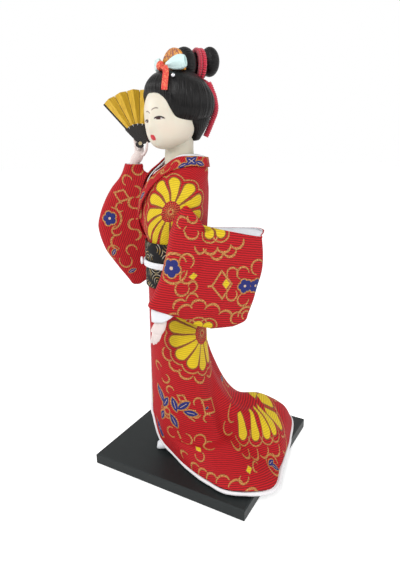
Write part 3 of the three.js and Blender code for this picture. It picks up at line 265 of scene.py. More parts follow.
# %% Node helpers
class Nodes:
    """Adds nodes to one tree. A value may be a number or another node's socket."""

    def __init__(self, tree):
        self.tree = tree

    def set(self, socket, value):
        if isinstance(value, bpy.types.NodeSocket):
            self.tree.links.new(value, socket)
        elif value is not None:
            socket.default_value = value

    def add(self, kind, inputs=None, **settings):
        node = self.tree.nodes.new(kind)
        for key, value in settings.items():
            setattr(node, key, value)
        for key, value in (inputs or {}).items():
            self.set(node.inputs[key], value)
        return node

    def math(self, operation, *values, clamp=False):
        node = self.add("ShaderNodeMath", operation=operation, use_clamp=clamp)
        for socket, value in zip(node.inputs, values):
            self.set(socket, value)
        return node.outputs[0]

    plus = partialmethod(math, "ADD")
    minus = partialmethod(math, "SUBTRACT")
    times = partialmethod(math, "MULTIPLY")
    over = partialmethod(math, "DIVIDE")
    times_plus = partialmethod(math, "MULTIPLY_ADD")
    least = partialmethod(math, "MINIMUM")
    most = partialmethod(math, "MAXIMUM")
    absolute = partialmethod(math, "ABSOLUTE")
    fraction = partialmethod(math, "FRACT")
    sine = partialmethod(math, "SINE")
    cosine = partialmethod(math, "COSINE")
    angle_of = partialmethod(math, "ARCTAN2")
    root = partialmethod(math, "SQRT")
    power = partialmethod(math, "POWER")

    def below(self, value, limit, soft=0.12):
        """1 where value is below limit, with a soft edge."""
        gap = self.minus(limit, value)
        return self.times_plus(gap, 1 / soft, 0.5, clamp=True)

    def both(self, *masks):
        result = masks[0]
        for mask in masks[1:]:
            result = self.times(result, mask)
        return result

    def either(self, *masks):
        result = masks[0]
        for mask in masks[1:]:
            result = self.most(result, mask)
        return result

    def length(self, x, y):
        """Length of a flat vector."""
        return self.root(self.times_plus(x, x, self.times(y, y)))

    def mix(self, share, first, second):
        node = self.add("ShaderNodeMix", data_type="RGBA")
        self.set(node.inputs[0], share)
        self.set(node.inputs[6], first)
        self.set(node.inputs[7], second)
        return node.outputs[2]

    def split(self, vector):
        """The three parts of a vector."""
        return self.add("ShaderNodeSeparateXYZ", {0: vector}).outputs

    def use(self, shared, **inputs):
        """Adds a node group and gives back its outputs by name."""
        return self.add("ShaderNodeGroup", inputs, node_tree=shared).outputs

    def noise(self, vector, scale, detail=2.0, rough=0.5, dimensions="3D"):
        return self.add("ShaderNodeTexNoise", {"Vector": vector, "Scale": scale, "Detail": detail,
                                               "Roughness": rough}, noise_dimensions=dimensions).outputs[0]

# %% [markdown]
# Colours are written as they look on a screen and turned into Blender's linear values once. A
# shared effect is built once as a node group, with named inputs, and used by many materials.

# %% Colours and node groups
def colour(red, green, blue):
    """A colour written as it looks on screen, 0 to 255, turned into Blender's linear values."""
    return tuple(((c / 255 + 0.055) / 1.055) ** 2.4 if c > 10 else c / 255 / 12.92
                 for c in (red, green, blue)) + (1.0,)


def group(name, inputs, outputs, build):
    """A shader node group with named inputs and outputs, filled in by build(nodes, given)."""
    tree = bpy.data.node_groups.new(name, "ShaderNodeTree")
    for label, kind, value in inputs:
        socket = tree.interface.new_socket(name=label, in_out="INPUT", socket_type=kind)
        if value is not None:
            socket.default_value = value
    for label, kind in outputs:
        tree.interface.new_socket(name=label, in_out="OUTPUT", socket_type=kind)
    nodes = Nodes(tree)
    given = tree.nodes.new("NodeGroupInput").outputs
    made = build(nodes, given)
    end = tree.nodes.new("NodeGroupOutput")
    for label, _ in outputs:
        tree.links.new(made[label], end.inputs[label])
    return tree


FLOAT, VECTOR, COLOUR = "NodeSocketFloat", "NodeSocketVector", "NodeSocketColor"
RELIEF = [("Height", FLOAT), ("Shade", FLOAT)]
print("linear mid grey", round(colour(128, 128, 128)[0], 3))

# %% [markdown]
# The brocade's flowers are woven, so each one is a flat shape with a gold outline. A petal is a
# narrow wedge with a round end, a dark rim and a gold scallop beyond its tip.

# %% One petal
PETAL_MIDDLE, PETAL_ROUND, HUB, SCALLOP = 0.82, 0.152, 0.29, 0.13


def local_axes(nodes, given):
    """A point of the cloth as seen from the motif's middle, along its direction and aside."""
    turned = nodes.add("ShaderNodeVectorRotate", {
        "Vector": given["Cloth"], "Center": given["Middle"],
        "Angle": nodes.times(given["Turn"], -2 * pi)}, rotation_type="Z_AXIS").outputs[0]
    apart = nodes.add("ShaderNodeVectorMath", {0: turned, 1: given["Middle"]},
                      operation="SUBTRACT").outputs[0]
    parts = nodes.split(apart)
    return parts[0], parts[1]


def polar(nodes, given):
    """Distance from the motif's middle, and the angle round it in turns, from 0 to 1."""
    x, y = local_axes(nodes, given)
    reach = nodes.length(x, y)
    turns = nodes.times(nodes.angle_of(y, x), 1 / (2 * pi))
    return reach, nodes.fraction(nodes.plus(turns, 1.0))


def petal_masks(nodes, along, aside, given):
    """One teardrop petal, its dark outline and the gold scallop beyond its tip."""
    radius, line = given["Radius"], given["Line"]
    middle = nodes.times(radius, PETAL_MIDDLE)
    past = nodes.most(nodes.minus(along, middle), 0.0)
    share = nodes.least(nodes.over(along, middle), 1.0)
    wide = nodes.times(nodes.times(radius, PETAL_ROUND), share)
    away = nodes.length(past, aside)
    off = nodes.minus(away, wide)
    beyond_hub = nodes.below(nodes.times(radius, HUB), along, 0.5)
    rim = nodes.absolute(nodes.minus(off, nodes.times(line, 0.5)))
    outer = nodes.minus(off, nodes.times(radius, SCALLOP))
    scallop = nodes.both(nodes.below(nodes.absolute(outer), nodes.times(line, 0.62), 0.4),
                         nodes.below(nodes.times(middle, 0.97), along, 0.4))
    return {"Petal": nodes.both(nodes.below(off, 0.0, 0.2), beyond_hub, given["Yellow"]),
            "Rim": nodes.both(nodes.below(rim, nodes.times(line, 0.42), 0.3), beyond_hub),
            "Line": nodes.both(scallop, given["Scalloped"])}


def petal(nodes, given):
    along, aside = local_axes(nodes, given)
    return petal_masks(nodes, along, aside, given)

# %% [markdown]
# A whole flower needs no more nodes than one petal: the angle round its middle is cut into equal
# shares, and every share is drawn alike.

# %% Chrysanthemum
def folded(nodes, given):
    """The cloth folded round a flower's middle, so that one petal stands for all of them."""
    reach, turned = polar(nodes, given)
    share = nodes.minus(nodes.fraction(nodes.times(turned, given["Petals"])), 0.5)
    angle = nodes.over(nodes.times(share, 2 * pi), given["Petals"])
    return (reach, angle, nodes.times(reach, nodes.cosine(angle)),
            nodes.times(reach, nodes.sine(angle)))


def chrysanthemum(nodes, given):
    """Petals round a yellow hub with an eye and short spokes."""
    reach, angle, along, aside = folded(nodes, given)
    masks = petal_masks(nodes, along, aside, given)
    radius = given["Radius"]
    half_share = nodes.minus(nodes.over(pi, given["Petals"]), nodes.absolute(angle))
    to_border = nodes.times(reach, nodes.sine(half_share))
    to_spoke = nodes.least(to_border, nodes.absolute(aside))
    spokes = nodes.both(nodes.below(to_spoke, 0.16, 0.2),
                        nodes.below(reach, nodes.times(radius, HUB * 0.95)),
                        nodes.below(nodes.times(radius, 0.11), reach))
    eye = nodes.both(nodes.below(reach, nodes.times(radius, 0.1)),
                     nodes.below(nodes.times(radius, 0.045), reach))
    masks["Line"] = nodes.either(masks["Line"], nodes.both(nodes.either(spokes, eye), given["Yellow"]))
    return masks

# %% [markdown]
# The small flowers and leaves are navy. A blossom folds the cloth like the chrysanthemum does,
# with round petals. A leaf is the part that two circles share, with a pale vein.

# %% Navy blossom and leaf
def blossom(nodes, given):
    """A navy flower with round petals, a gold rim and a pale heart."""
    reach, _, along, aside = folded(nodes, given)
    radius = given["Radius"]
    along = nodes.minus(along, nodes.times(radius, 0.56))
    off = nodes.minus(nodes.length(along, aside), nodes.times(radius, 0.46))
    heart = nodes.minus(reach, nodes.times(radius, 0.6))
    body = nodes.least(off, heart)
    rim = nodes.absolute(nodes.minus(body, 0.45))
    eye = nodes.below(reach, nodes.times(radius, 0.2))
    return {"Navy": nodes.below(body, 0.0, 0.2), "Pale": eye,
            "Line": nodes.below(rim, nodes.times(given["Line"], 0.5), 0.3)}


def leaf(nodes, given):
    """A pointed navy leaf with a pale vein: the part that two circles share."""
    along, aside = local_axes(nodes, given)
    a = nodes.over(along, given["Radius"])
    bulge = nodes.times(nodes.minus(1.0, nodes.times(a, a)), 0.42)
    b = nodes.over(nodes.absolute(aside), given["Radius"])
    off = nodes.minus(b, bulge)
    vein = nodes.both(nodes.below(nodes.absolute(aside), 0.22), nodes.below(nodes.absolute(a), 0.55, 0.1))
    rim = nodes.both(nodes.below(nodes.absolute(nodes.minus(off, 0.09)), 0.07, 0.06),
                     nodes.below(nodes.absolute(a), 1.06, 0.1))
    return {"Navy": nodes.below(off, 0.0, 0.05), "Line": rim, "Pale": vein}

# %% [markdown]
# The rest is gold line: scallops and curls are parts of circles, stems are short strokes, and
# the square buds are diamonds.

# %% Arc, stroke and diamond
def arc(nodes, given):
    """A crescent of gold thread: part of a circle, thickest in the middle of its sweep."""
    reach, turned = polar(nodes, given)
    along = nodes.over(turned, given["Sweep"])
    swell = nodes.sine(nodes.times(nodes.least(along, 1.0), pi))
    wide = nodes.times(given["Line"], nodes.times_plus(swell, 0.35, 0.3))
    off = nodes.absolute(nodes.minus(reach, given["Radius"]))
    return {"Line": nodes.both(nodes.below(off, wide, 0.3), nodes.below(along, 1.0, 0.04))}


def stroke(nodes, given):
    """A short straight line of thread with round ends."""
    along, aside = local_axes(nodes, given)
    past = nodes.most(nodes.minus(along, given["Radius"]), nodes.times(along, -1.0))
    away = nodes.length(nodes.most(past, 0.0), aside)
    mask = nodes.below(away, nodes.times(given["Line"], 0.5), 0.3)
    navy = nodes.both(mask, given["Yellow"])
    return {"Line": nodes.minus(mask, navy), "Navy": navy}


def diamond(nodes, given):
    """A gold diamond, filled with yellow when Yellow is 1 and drawn as an outline when it is 0."""
    along, aside = local_axes(nodes, given)
    size = nodes.plus(nodes.absolute(along), nodes.times(nodes.absolute(aside), given["Petals"]))
    off = nodes.absolute(nodes.minus(size, given["Radius"]))
    filled = nodes.both(nodes.below(size, given["Radius"]), given["Yellow"])
    return {"Petal": filled, "Line": nodes.below(off, nodes.times(given["Line"], 0.6), 0.3)}

# %% [markdown]
# Each motif puts out one number that says which thread lies on top: petal rim, gold line, yellow
# petal, navy or pale. The largest number wins where motifs overlap, so joining them is one
# Maximum node each, and a cloth can hold many.

# %% Motifs as node groups
MOTIF_INPUTS = [("Cloth", VECTOR, None), ("Middle", VECTOR, None), ("Radius", FLOAT, 10.0),
                ("Turn", FLOAT, 0.0), ("Line", FLOAT, 0.9), ("Petals", FLOAT, 12.0),
                ("Yellow", FLOAT, 1.0), ("Scalloped", FLOAT, 1.0), ("Sweep", FLOAT, 0.5)]
THREADS = {"Rim": 1, "Line": 2, "Petal": 3, "Navy": 4, "Pale": 5}


def topmost(make):
    """Turns a motif's masks into one number: the thread that lies on top at each place."""
    def build(nodes, given):
        masks = make(nodes, given)
        return {"Thread": nodes.either(*[nodes.times(mask, THREADS[name])
                                         for name, mask in masks.items()])}
    return build


motifs = {make.__name__: group(make.__name__, MOTIF_INPUTS, [("Thread", FLOAT)], topmost(make))
          for make in (chrysanthemum, petal, blossom, arc, stroke, diamond, leaf)}
print("motifs", ", ".join(motifs))

# %% [markdown]
# The ground of the cloth is a ribbed red twill. Gold thread is laid over it for the lines, and
# the petals are close yellow or navy satin. One group turns the motif masks into a colour, a
# roughness and a height, so every panel of the kimono shares the same weave.

# %% The ribbed brocade itself
# The darker red and yellow are painted shade between the ribs of the twill.
RED, RED_RIB_SHADE = colour(200, 12, 24), colour(88, 1, 10)
YELLOW, YELLOW_RIB_SHADE = colour(222, 194, 22), colour(156, 124, 4)
NAVY, NAVY_LIGHT, NAVY_PALE = colour(16, 22, 88), colour(36, 48, 128), colour(196, 170, 150)
GOLD, GOLD_LOW = colour(212, 152, 84), colour(118, 54, 20)
RIM, RIM_LOW = colour(150, 100, 40), colour(78, 42, 14)
RIB_PITCH, STITCH_PITCH = 1.5, 0.9


def weave(nodes, given):
    cloth, thread_on_top = given["Cloth"], given["Thread"]
    rim, line, petals = [nodes.both(nodes.below(THREADS[name] - 0.5, thread_on_top, 0.3),
                                    nodes.below(thread_on_top, THREADS[name] + 0.5, 0.3))
                         for name in ("Rim", "Line", "Petal")]
    blue = nodes.below(THREADS["Navy"] - 0.5, thread_on_top, 0.3)
    pale = nodes.below(THREADS["Pale"] - 0.5, thread_on_top, 0.3)
    bent = nodes.add("ShaderNodeVectorRotate", {"Vector": cloth, "Angle": given["Slant"]},
                     rotation_type="Z_AXIS").outputs[0]
    parts = nodes.split(bent)
    stray = nodes.noise(cloth, 0.3, 2.0, dimensions="2D")
    phase = nodes.times_plus(stray, 2.6, nodes.times(parts[1], 2 * pi / RIB_PITCH))
    rib = nodes.times_plus(nodes.sine(phase), 0.5, 0.5)
    cross = nodes.sine(nodes.times(parts[0], 2 * pi / STITCH_PITCH))
    stitch = nodes.times_plus(nodes.times(rib, cross), 0.15, rib)
    fleck = nodes.noise(cloth, 1.8, 3.0, 0.7, "2D")
    # Red and yellow run from dark to light along the ribs: painted light on the rib tops and painted shade
    # between them. The flecks in the red are random thread tone.
    lit = nodes.times_plus(stitch, 0.8, nodes.times(fleck, 0.3), clamp=True)
    red = nodes.mix(lit, RED_RIB_SHADE, RED)
    yellow = nodes.mix(nodes.times_plus(stitch, 0.5, 0.45, clamp=True), YELLOW_RIB_SHADE, YELLOW)
    navy = nodes.mix(nodes.times(fleck, 0.5), NAVY, NAVY_LIGHT)
    glint = nodes.noise(cloth, 1.2, 2.0, 0.8, "2D")
    thread = nodes.times_plus(glint, 3.0, -1.0, clamp=True)
    painted = nodes.mix(petals, red, yellow)
    painted = nodes.mix(nodes.times(rim, 0.92), painted, nodes.mix(thread, RIM_LOW, RIM))
    painted = nodes.mix(blue, painted, navy)
    painted = nodes.mix(pale, painted, NAVY_PALE)
    broken = nodes.both(line, nodes.times_plus(glint, 3.2, -0.3, clamp=True))
    painted = nodes.mix(broken, painted, nodes.mix(thread, GOLD_LOW, GOLD))
    raised = nodes.below(0.5, thread_on_top, 0.3)
    height = nodes.times_plus(raised, 0.5, nodes.times(stitch, 0.7))
    rough = nodes.times_plus(raised, -0.12, 0.74)
    return {"Color": painted, "Height": height, "Roughness": rough}


brocade_weave = group("ribbed brocade", [
    ("Cloth", VECTOR, None), ("Slant", FLOAT, 0.0), ("Thread", FLOAT, 0.0)],
    [("Color", COLOUR), ("Height", FLOAT), ("Roughness", FLOAT)], weave)


print("brocade nodes", len(brocade_weave.nodes))

# %% [markdown]
# All the materials start from the Principled shader. Plain values go straight on its sockets, and
# relief too fine to model goes in as a bump, with its height in millimetres.

# %% A material and its relief
def principled(name, rough, **sockets):
    """A new material's nodes and its Principled shader, with plain values on its own sockets."""
    paint = bpy.data.materials.new(name)
    paint.use_nodes = True
    nodes = Nodes(paint.node_tree)
    shader = paint.node_tree.nodes["Principled BSDF"]
    shader.inputs["Roughness"].default_value = rough
    for key, value in sockets.items():
        shader.inputs[key.replace("_", " ")].default_value = value
    return paint, nodes, shader


def bump(nodes, shader, height, distance):
    made = nodes.add("ShaderNodeBump", {"Height": height, "Distance": distance * MM})
    nodes.set(shader.inputs["Normal"], made.outputs[0])


def toned(paint, nodes, shader, made, dark, light, depth):
    """A finish between two tones, with a relief, both from the outputs of its node group."""
    nodes.set(shader.inputs["Base Color"], nodes.mix(made["Shade"], colour(*dark), colour(*light)))
    bump(nodes, shader, made["Height"], depth)
    return paint


def cloth_uv(nodes):
    return nodes.add("ShaderNodeUVMap", uv_map="cloth").outputs[0]

# %% [markdown]
# The pattern of a panel is a list of motifs with places measured on the real cloth. One material
# has room for about twenty motifs, so a large panel is divided into patches. Every patch holds all
# the motifs that reach into it, so nothing shows where two patches meet.

# %% Brocade with its motifs
def strewn(kind, **more):
    """A way to draw one motif at many places: (x, y, radius, degrees), in millimetres of cloth."""
    return lambda *places: [(kind, *place, more) for place in places]


great_flowers, full_flowers = strewn("chrysanthemum"), strewn("chrysanthemum", Petals=14)
petals, leaves, blossoms = strewn("petal"), strewn("leaf"), strewn("blossom", Petals=5)
scallops, curls = strewn("arc", Line=1.35, Sweep=165), strewn("arc", Line=1.1, Sweep=250)
vine, rings = strewn("arc", Line=1.5, Sweep=190), strewn("arc", Line=1.5, Sweep=360)
boxes, buds = strewn("diamond", Yellow=0, Petals=0.75, Line=1.4), strewn("diamond", Petals=0.75)
stems, thin_stems = strewn("stroke", Yellow=0, Line=1.4), strewn("stroke", Yellow=0, Line=1.2)
navy_strokes = strewn("stroke", Line=1.8)


def brocade(name, slant, drawn):
    """Red brocade with the motifs in a list from the functions above."""
    paint, nodes, shader = principled(name, 0.66, Specular_IOR_Level=0.3)
    cloth = cloth_uv(nodes)
    threads = []
    for kind, x, y, radius, turned, more in drawn:
        given = {key: value / 360 if key == "Sweep" else value for key, value in more.items()}
        threads.append(nodes.use(motifs[kind], Cloth=cloth, Middle=(x, y, 0), Radius=radius,
                                 Turn=turned / 360, **given)[0])
    on_top = nodes.either(*threads) if threads else None
    woven = nodes.use(brocade_weave, Cloth=cloth, Slant=radians(slant), Thread=on_top)
    nodes.set(shader.inputs["Base Color"], woven["Color"])
    nodes.set(shader.inputs["Roughness"], woven["Roughness"])
    bump(nodes, shader, woven["Height"], 0.16)
    return paint


FAR, MOTIF_REACH, MOTIF_EDGE = 1e4, 1.35, 3


def patched_brocade(name, slant, drawn, across, down):
    """One brocade in patches that meet at the given places across and down the cloth."""
    patches = []
    for start, end in zip([-FAR, *across], [*across, FAR]):
        for low, high in zip([-FAR, *down], [*down, FAR]):
            near = []
            for motif in drawn:
                _, x, y, radius, *_ = motif
                reach = radius * MOTIF_REACH + MOTIF_EDGE
                if start - reach < x < end + reach and low - reach < y < high + reach:
                    near.append(motif)
            patches.append(((start, end, low, high), brocade(f"{name} {len(patches)}", slant, near)))
    print(name, "motifs", len(drawn), "patches", len(patches))
    return patches

# %% [markdown]
# White parts of the dress are plain cotton. Its fine weave hardly shows at this size, so it is
# a low bump and a very slight change of tone: the thread tops are painted a little lighter, and
# slow blotches of the darker tone are painted shade.

# %% Plain cotton and satin
def plain_weave(nodes, given):
    parts = nodes.split(given["Cloth"])
    warp = nodes.sine(nodes.times(parts[0], given["Threads"]))
    weft = nodes.sine(nodes.times(parts[1], given["Threads"]))
    height = nodes.times_plus(nodes.times(warp, weft), 0.5, 0.5)
    # Slow blotches of the darker tone are painted shade; the weave's height adds a little painted light on
    # the thread tops.
    shade_blotches = nodes.noise(given["Cloth"], 0.08, 3.0, 0.6, "2D")
    shade = nodes.times_plus(shade_blotches, 0.3, nodes.times_plus(height, 0.12, 0.66), clamp=True)
    return {"Height": height, "Shade": shade}


plain_cloth = group("plain weave", [("Cloth", VECTOR, None), ("Threads", FLOAT, 9.0)], RELIEF, plain_weave)


def cotton(name, light, dark, rough=0.85, depth=0.05, threads=9.0):
    paint, nodes, shader = principled(name, rough, Sheen_Weight=0.15)
    woven = nodes.use(plain_cloth, Cloth=cloth_uv(nodes), Threads=threads)
    return toned(paint, nodes, shader, woven, dark, light, depth)


# The darker tone of each plain cloth is painted shade.
white_cotton = cotton("white cotton", (224, 226, 230), (190, 192, 198))
white_satin = cotton("white satin roll", (230, 228, 230), (198, 194, 198), 0.5, 0.03)
print("plain weave nodes", len(plain_cloth.nodes))

# %% [markdown]
# Moulded skin, lacquer and metal differ in colour and gloss, but each has the same fine speckle
# and slow change of tone, so that no surface is perfectly even.

# %% Moulded, lacquered and metal finishes
def grain(nodes, given):
    """Fine even speckle and slow change of tone for moulded and lacquered parts."""
    fine = nodes.noise(given["Place"], given["Scale"], 3.0, 0.6)
    slow = nodes.noise(given["Place"], nodes.times(given["Scale"], 0.08), 2.0)
    return {"Height": fine, "Shade": nodes.times_plus(fine, 0.5, nodes.times(slow, 0.5))}


surface_grain = group("surface grain", [("Place", VECTOR, None), ("Scale", FLOAT, 900.0)], RELIEF, grain)


def moulded(name, light, dark, rough, depth=0.01, scale=900.0, **sockets):
    paint, nodes, shader = principled(name, rough, **sockets)
    place = nodes.add("ShaderNodeTexCoord").outputs["Object"]
    made = nodes.use(surface_grain, Place=place, Scale=scale)
    return toned(paint, nodes, shader, made, dark, light, depth)


stand_black = moulded("stand lacquer", (27, 33, 33), (13, 17, 18), 0.5, 0.02, 1600.0,
                      Specular_IOR_Level=0.25)
skin = moulded("hand finish", (224, 212, 208), (208, 192, 188), 0.4)
steel = moulded("pin steel", (170, 170, 170), (120, 120, 120), 0.3, Metallic=1.0)
silver = moulded("polished silver", (225, 225, 228), (180, 180, 186), 0.18, 0.0, Metallic=1.0)
fan_black = moulded("fan lacquer", (34, 25, 21), (8, 6, 6), 0.25, 0.01, 700.0)
brass = moulded("rivet brass", (214, 200, 170), (150, 130, 90), 0.25, Metallic=1.0)
clasp_white = moulded("clasp", (236, 232, 234), (206, 200, 204), 0.3)
print("materials so far", len(bpy.data.materials))

# %% [markdown]
# The board, pins, legs, arms, core and fan sticks keep their solids, because a flat lacquered
# board or stick is already the right shape. They only need their finish.

# %% Finishes on the kept solids
fan_sticks = [f"fan_stick_{i}" for i in range(1, 8)]
FINISHES = {
    "stand_board": stand_black, "torso_form": skin, "fan_rivet": brass,
    "left_leg": skin, "right_leg": skin, "left_arm": skin, "right_arm": skin,
    "left_foot_pin": steel, "right_foot_pin": steel,
    **{stick: fan_black for stick in ["fan_guard_rear", *fan_sticks, "fan_guard_front"]},
}
for node, paint in FINISHES.items():
    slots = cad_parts[node].data.materials
    slots.clear()
    slots.append(paint)
print("kept solids", len(FINISHES))

# %% [markdown]
# The feet wear white split-toed socks. A sphere stretched along the foot, flattened below and
# pinched between the toes gives the soft shape of a foot in a cotton sock.

# %% Feet in split-toed socks
FOOT_LENGTH, FOOT_WIDTH, FOOT_HEIGHT, TOE_Y, RIGHT_FOOT_BACK, STANCE = 23, 9, 8, -42, 8, 6.4
SOLE = STAND_THICK + GAP
SOCK_WIDTHS = [(0, 0), (0.03, 0.5), (0.12, 0.86), (0.25, 1), (0.5, 0.94), (0.75, 0.84),
               (0.93, 0.72), (1, 0.2)]
SOCK_HEIGHTS = [(0, 0.2), (0.05, 0.72), (0.2, 0.84), (0.45, 0.88), (0.7, 0.94), (0.9, 0.9), (1, 0.4)]
TOE_SPLIT_X, TOE_SPLIT_WIDE, SOLE_FLAT = 1.2, 0.5, 0.86


def sock_point(side):
    toe = TOE_Y if side > 0 else TOE_Y + RIGHT_FOOT_BACK

    def place(u, v):
        along = v ** 0.9
        a = 2 * pi * u
        width = read_table(SOCK_WIDTHS, along)[0] * FOOT_WIDTH / 2
        tall = read_table(SOCK_HEIGHTS, along)[0] * FOOT_HEIGHT / 2
        split = exp(-((width * cos(a) + side * TOE_SPLIT_X) / TOE_SPLIT_WIDE) ** 2)
        pinch = 1 - 0.5 * split * smooth(along, 0.3, 0)
        z = max(tall * sin(a) * pinch, -tall * SOLE_FLAT) + tall * SOLE_FLAT
        return Vector((side * STANCE + width * cos(a), toe + along * FOOT_LENGTH, SOLE + z))
    return place


for side, word in ((1, "left"), (-1, "right")):
    sock = laid_grid(32, 26, sock_point(side), closed=True, outward=(side * STANCE, -30, 13))
    keep(f"{word}_sock", sock, white_cotton, "figure", [f"{word}_foot"], "white_cloth")

# %% [markdown]
# The skirt is one sheet wrapped from the front round the left side to the front again. Each
# station round the waist has its own fall, from straight in front to the long spread train. The
# real one hangs so too: glued flat at the waist and pulled out over the stand.

# %% The skirt's fall
WAIST = [(0, 150), (0, 140)]
FALL = {
    "front": [(0.14, 112), (0.28, 88), (0.42, 70), (0.55, 58), (0.68, 51),
              (0.8, 46), (0.9, 42.5), (1, 39)],
    "corner": [(0.14, 110), (0.25, 86), (0.36, 66), (0.5, 51), (0.64, 41),
               (0.78, 33), (0.9, 26.5), (1, 20)],
    "side": [(0.06, 108), (0.1, 84), (0.15, 64), (0.21, 45), (0.29, 28),
             (0.56, 23), (0.88, 16.5), (1, 12.9)],
    "tip": [(0.02, 108), (0.05, 84), (0.11, 62), (0.19, 45), (0.29, 30),
            (0.56, 23.5), (0.88, 16.5), (1, 12.9)],
    "train": [(0.01, 106), (0.04, 84), (0.13, 64), (0.25, 50), (0.4, 41),
              (0.64, 38), (0.9, 25), (1, 12.9)],
    "plain": [(0.1, 106), (0.18, 84), (0.3, 64), (0.43, 46), (0.57, 33),
              (0.72, 24), (0.88, 17), (1, 12.9)],
}
SKIRT = [
    (-10, 0, -43, "front"), (14, 8, -39.5, "corner"), (36, 20, -32.5, "side"),
    (60, 38, -26.5, "side"), (84, 56, -17, "side"), (106, 71.5, -3.5, "side"),
    (126, 77, 24, "tip"), (146, 57, 40, "tip"), (158, 44, 50, "train"), (170, 28, 61, "train"),
    (194, -4, 76, "train"),
    (220, -32, 58, "plain"), (248, -42, 26, "plain"), (280, -34, -4, "plain"),
    (312, -24, -24, "plain"), (340, -14, -36, "corner"), (366, -5, -39, "front"),
]
print("stations round the waist", len(SKIRT))

# %% [markdown]
# The tables give ten steps down each fall. Between them a low ridge and a crease are added, where
# the train turns from the leg to the board. The normal is found from a small step each way.

# %% A place on the skirt
SKIRT_ROWS = [(angle, x, y, *[n for pair in WAIST + FALL[fall] for n in pair])
              for angle, x, y, fall in SKIRT]
FALL_STEPS, SKIRT_ACROSS, SKIRT_DOWN = 9, 176, 99
CREASE_AT, CREASE_WIDE, CREASE_DEEP = 0.29, 0.045, 1.3
RIDGE_AT, RIDGE_WIDE, RIDGE_RISE = 0.43, 0.09, 1.5


def skirt_point(u, v):
    angle = lerp(SKIRT[0][0], SKIRT[-1][0], u)
    hem_x, hem_y, *fall = read_table(SKIRT_ROWS, angle)
    steps = [(k, fall[2 * k], fall[2 * k + 1]) for k in range(FALL_STEPS + 1)]
    out, height = read_table(steps, v * FALL_STEPS)
    if v == 0:
        height = SKIRT_TOP
    creased = smooth(angle, 30, 62) * smooth(angle, 168, 140)
    height += creased * (RIDGE_RISE * exp(-((out - RIDGE_AT) / RIDGE_WIDE) ** 2)
                         - CREASE_DEEP * exp(-((out - CREASE_AT) / CREASE_WIDE) ** 2))
    waist = on_bust(angle, SKIRT_TOP, -smooth(angle, 322, 350) * UNDER_PANEL_INSET)
    return Vector((lerp(waist.x, hem_x, out), lerp(waist.y, hem_y, out), height))


def grid_normal(place, u, v, step):
    across = place(min(u + step, 1), v) - place(max(u - step, 0), v)
    down = place(u, min(v + step, 1)) - place(u, max(v - step, 0))
    return down.cross(across).normalized()


print("hem below the train, mm", [round(n) for n in skirt_point(0.54, 1)])

# %% [markdown]
# Places are millimetres on the cloth: along from the line down the left hip, and up from the
# middle of the fall. The near side follows the doll, and the far side repeats the same kinds.

# %% The skirt's pattern
SKIRT_MOTIFS = [
    # The great flower on the hip, with its scallops
    *full_flowers((22, 54, 29, 23.5)),
    *scallops((-6.5, 39.5, 5.5, 127), (-1.2, 31.9, 5.5, 144), (6, 26.3, 5.5, 160),
              (17, 22.4, 5.5, 181), (30.3, 23.1, 5.5, 205), (41, 27, 5.5, 220),
              (-14, 52, 5.5, 100)),
    # Navy leaves below it, and the small work between them
    *curls((-17, 26, 3.2, 20), (-11, 19, 3.4, 190), (-7.5, 10.5, 3, 0), (13.3, 2.4, 3.2, -30),
           (12, -6.5, 3, 100), (20.1, -10.6, 3, 10), (-9, -24, 4, 60), (3, -27, 4.4, 200),
           (13.5, -27, 4.2, -60), (20, -33, 4.6, 60), (10, -42, 4, 150)),
    *leaves((-17, 4, 6.4, 115), (-12.5, -0.5, 5.4, 60), (-4.6, -0.5, 6, 105), (2.4, -0.4, 6, 35),
            (7.6, -6, 5.6, -12), (-6, -14, 6, -60), (-17.5, -13, 5.2, 240)),
    *rings((-11.9, -7.7, 2.8, 0)),
    *scallops((-11.9, -7.7, 5.4, 150)),
    *boxes((1.6, 5.5, 2.8, 60), (23.2, -2.4, 6.4, 45)),
    *navy_strokes((20, -3.4, 1.4, 20)),
    *thin_stems((6, -9, 5, -35)),
    *stems((-3.2, -22, 5, -70)),
    *buds((10.5, -36, 2.2, 30)),
    # The flower on the train, half folded in
    *petals((60.6, -14.4, 30, 260), (73.6, -20.8, 30, 260), (82, -24.4, 30, 271),
            (86.6, -27.9, 30, 286), (92, -36.7, 31, 310), (94, -35, 30, 330), (88, -33, 24, 352)),
    *scallops((52, -20, 6, 100), (45, -27, 6, 120), (44, -39, 6, 150), (50, -48, 6, 180),
              (60, -54, 6, 190), (72, -58, 6, 195), (86, -62, 6, 200), (103, -66, 7, 200),
              (62, -10, 5, 80)),
    *curls((74, -8, 5, 60)),
    *leaves((66, -3, 4, 20)),
    # Flowers on the far side
    *great_flowers((122, 20, 24, 10), (144, -40, 21, 0), (-58, 8, 24, 5)),
    *blossoms((150, 30, 6, 0), (-40, -30, 6, 0)),
    *scallops((150, 30, 10, 30)),
    # Scallops and leaves along the hem
    *scallops((-6, -44, 5.2, 30), (1.2, -52.5, 5.2, 20), (8, -57, 5.2, 15), (15.2, -61, 5.2, 10),
              (24.5, -64.5, 5.2, 5), (33.5, -70, 5.2, 0), (43, -79, 5.2, -5),
              (75, -71, 7.4, -20), (75, -71, 7.4, 140)),
    *leaves((74, -69, 4.8, 0), (76, -73, 4.8, -50)),
    *buds((44.8, -60.9, 2.2, 0)),
    *curls((52, -62, 3.6, 0), (40, -66, 3.4, 120)),
]
print("skirt motifs", len(SKIRT_MOTIFS))

# %% [markdown]
# The outer cloth and the white lining are the same sheet twice. The lining lies inside by the
# thickness of the brocade, along a normal taken over a wide step, so it doesn't fold in creases.

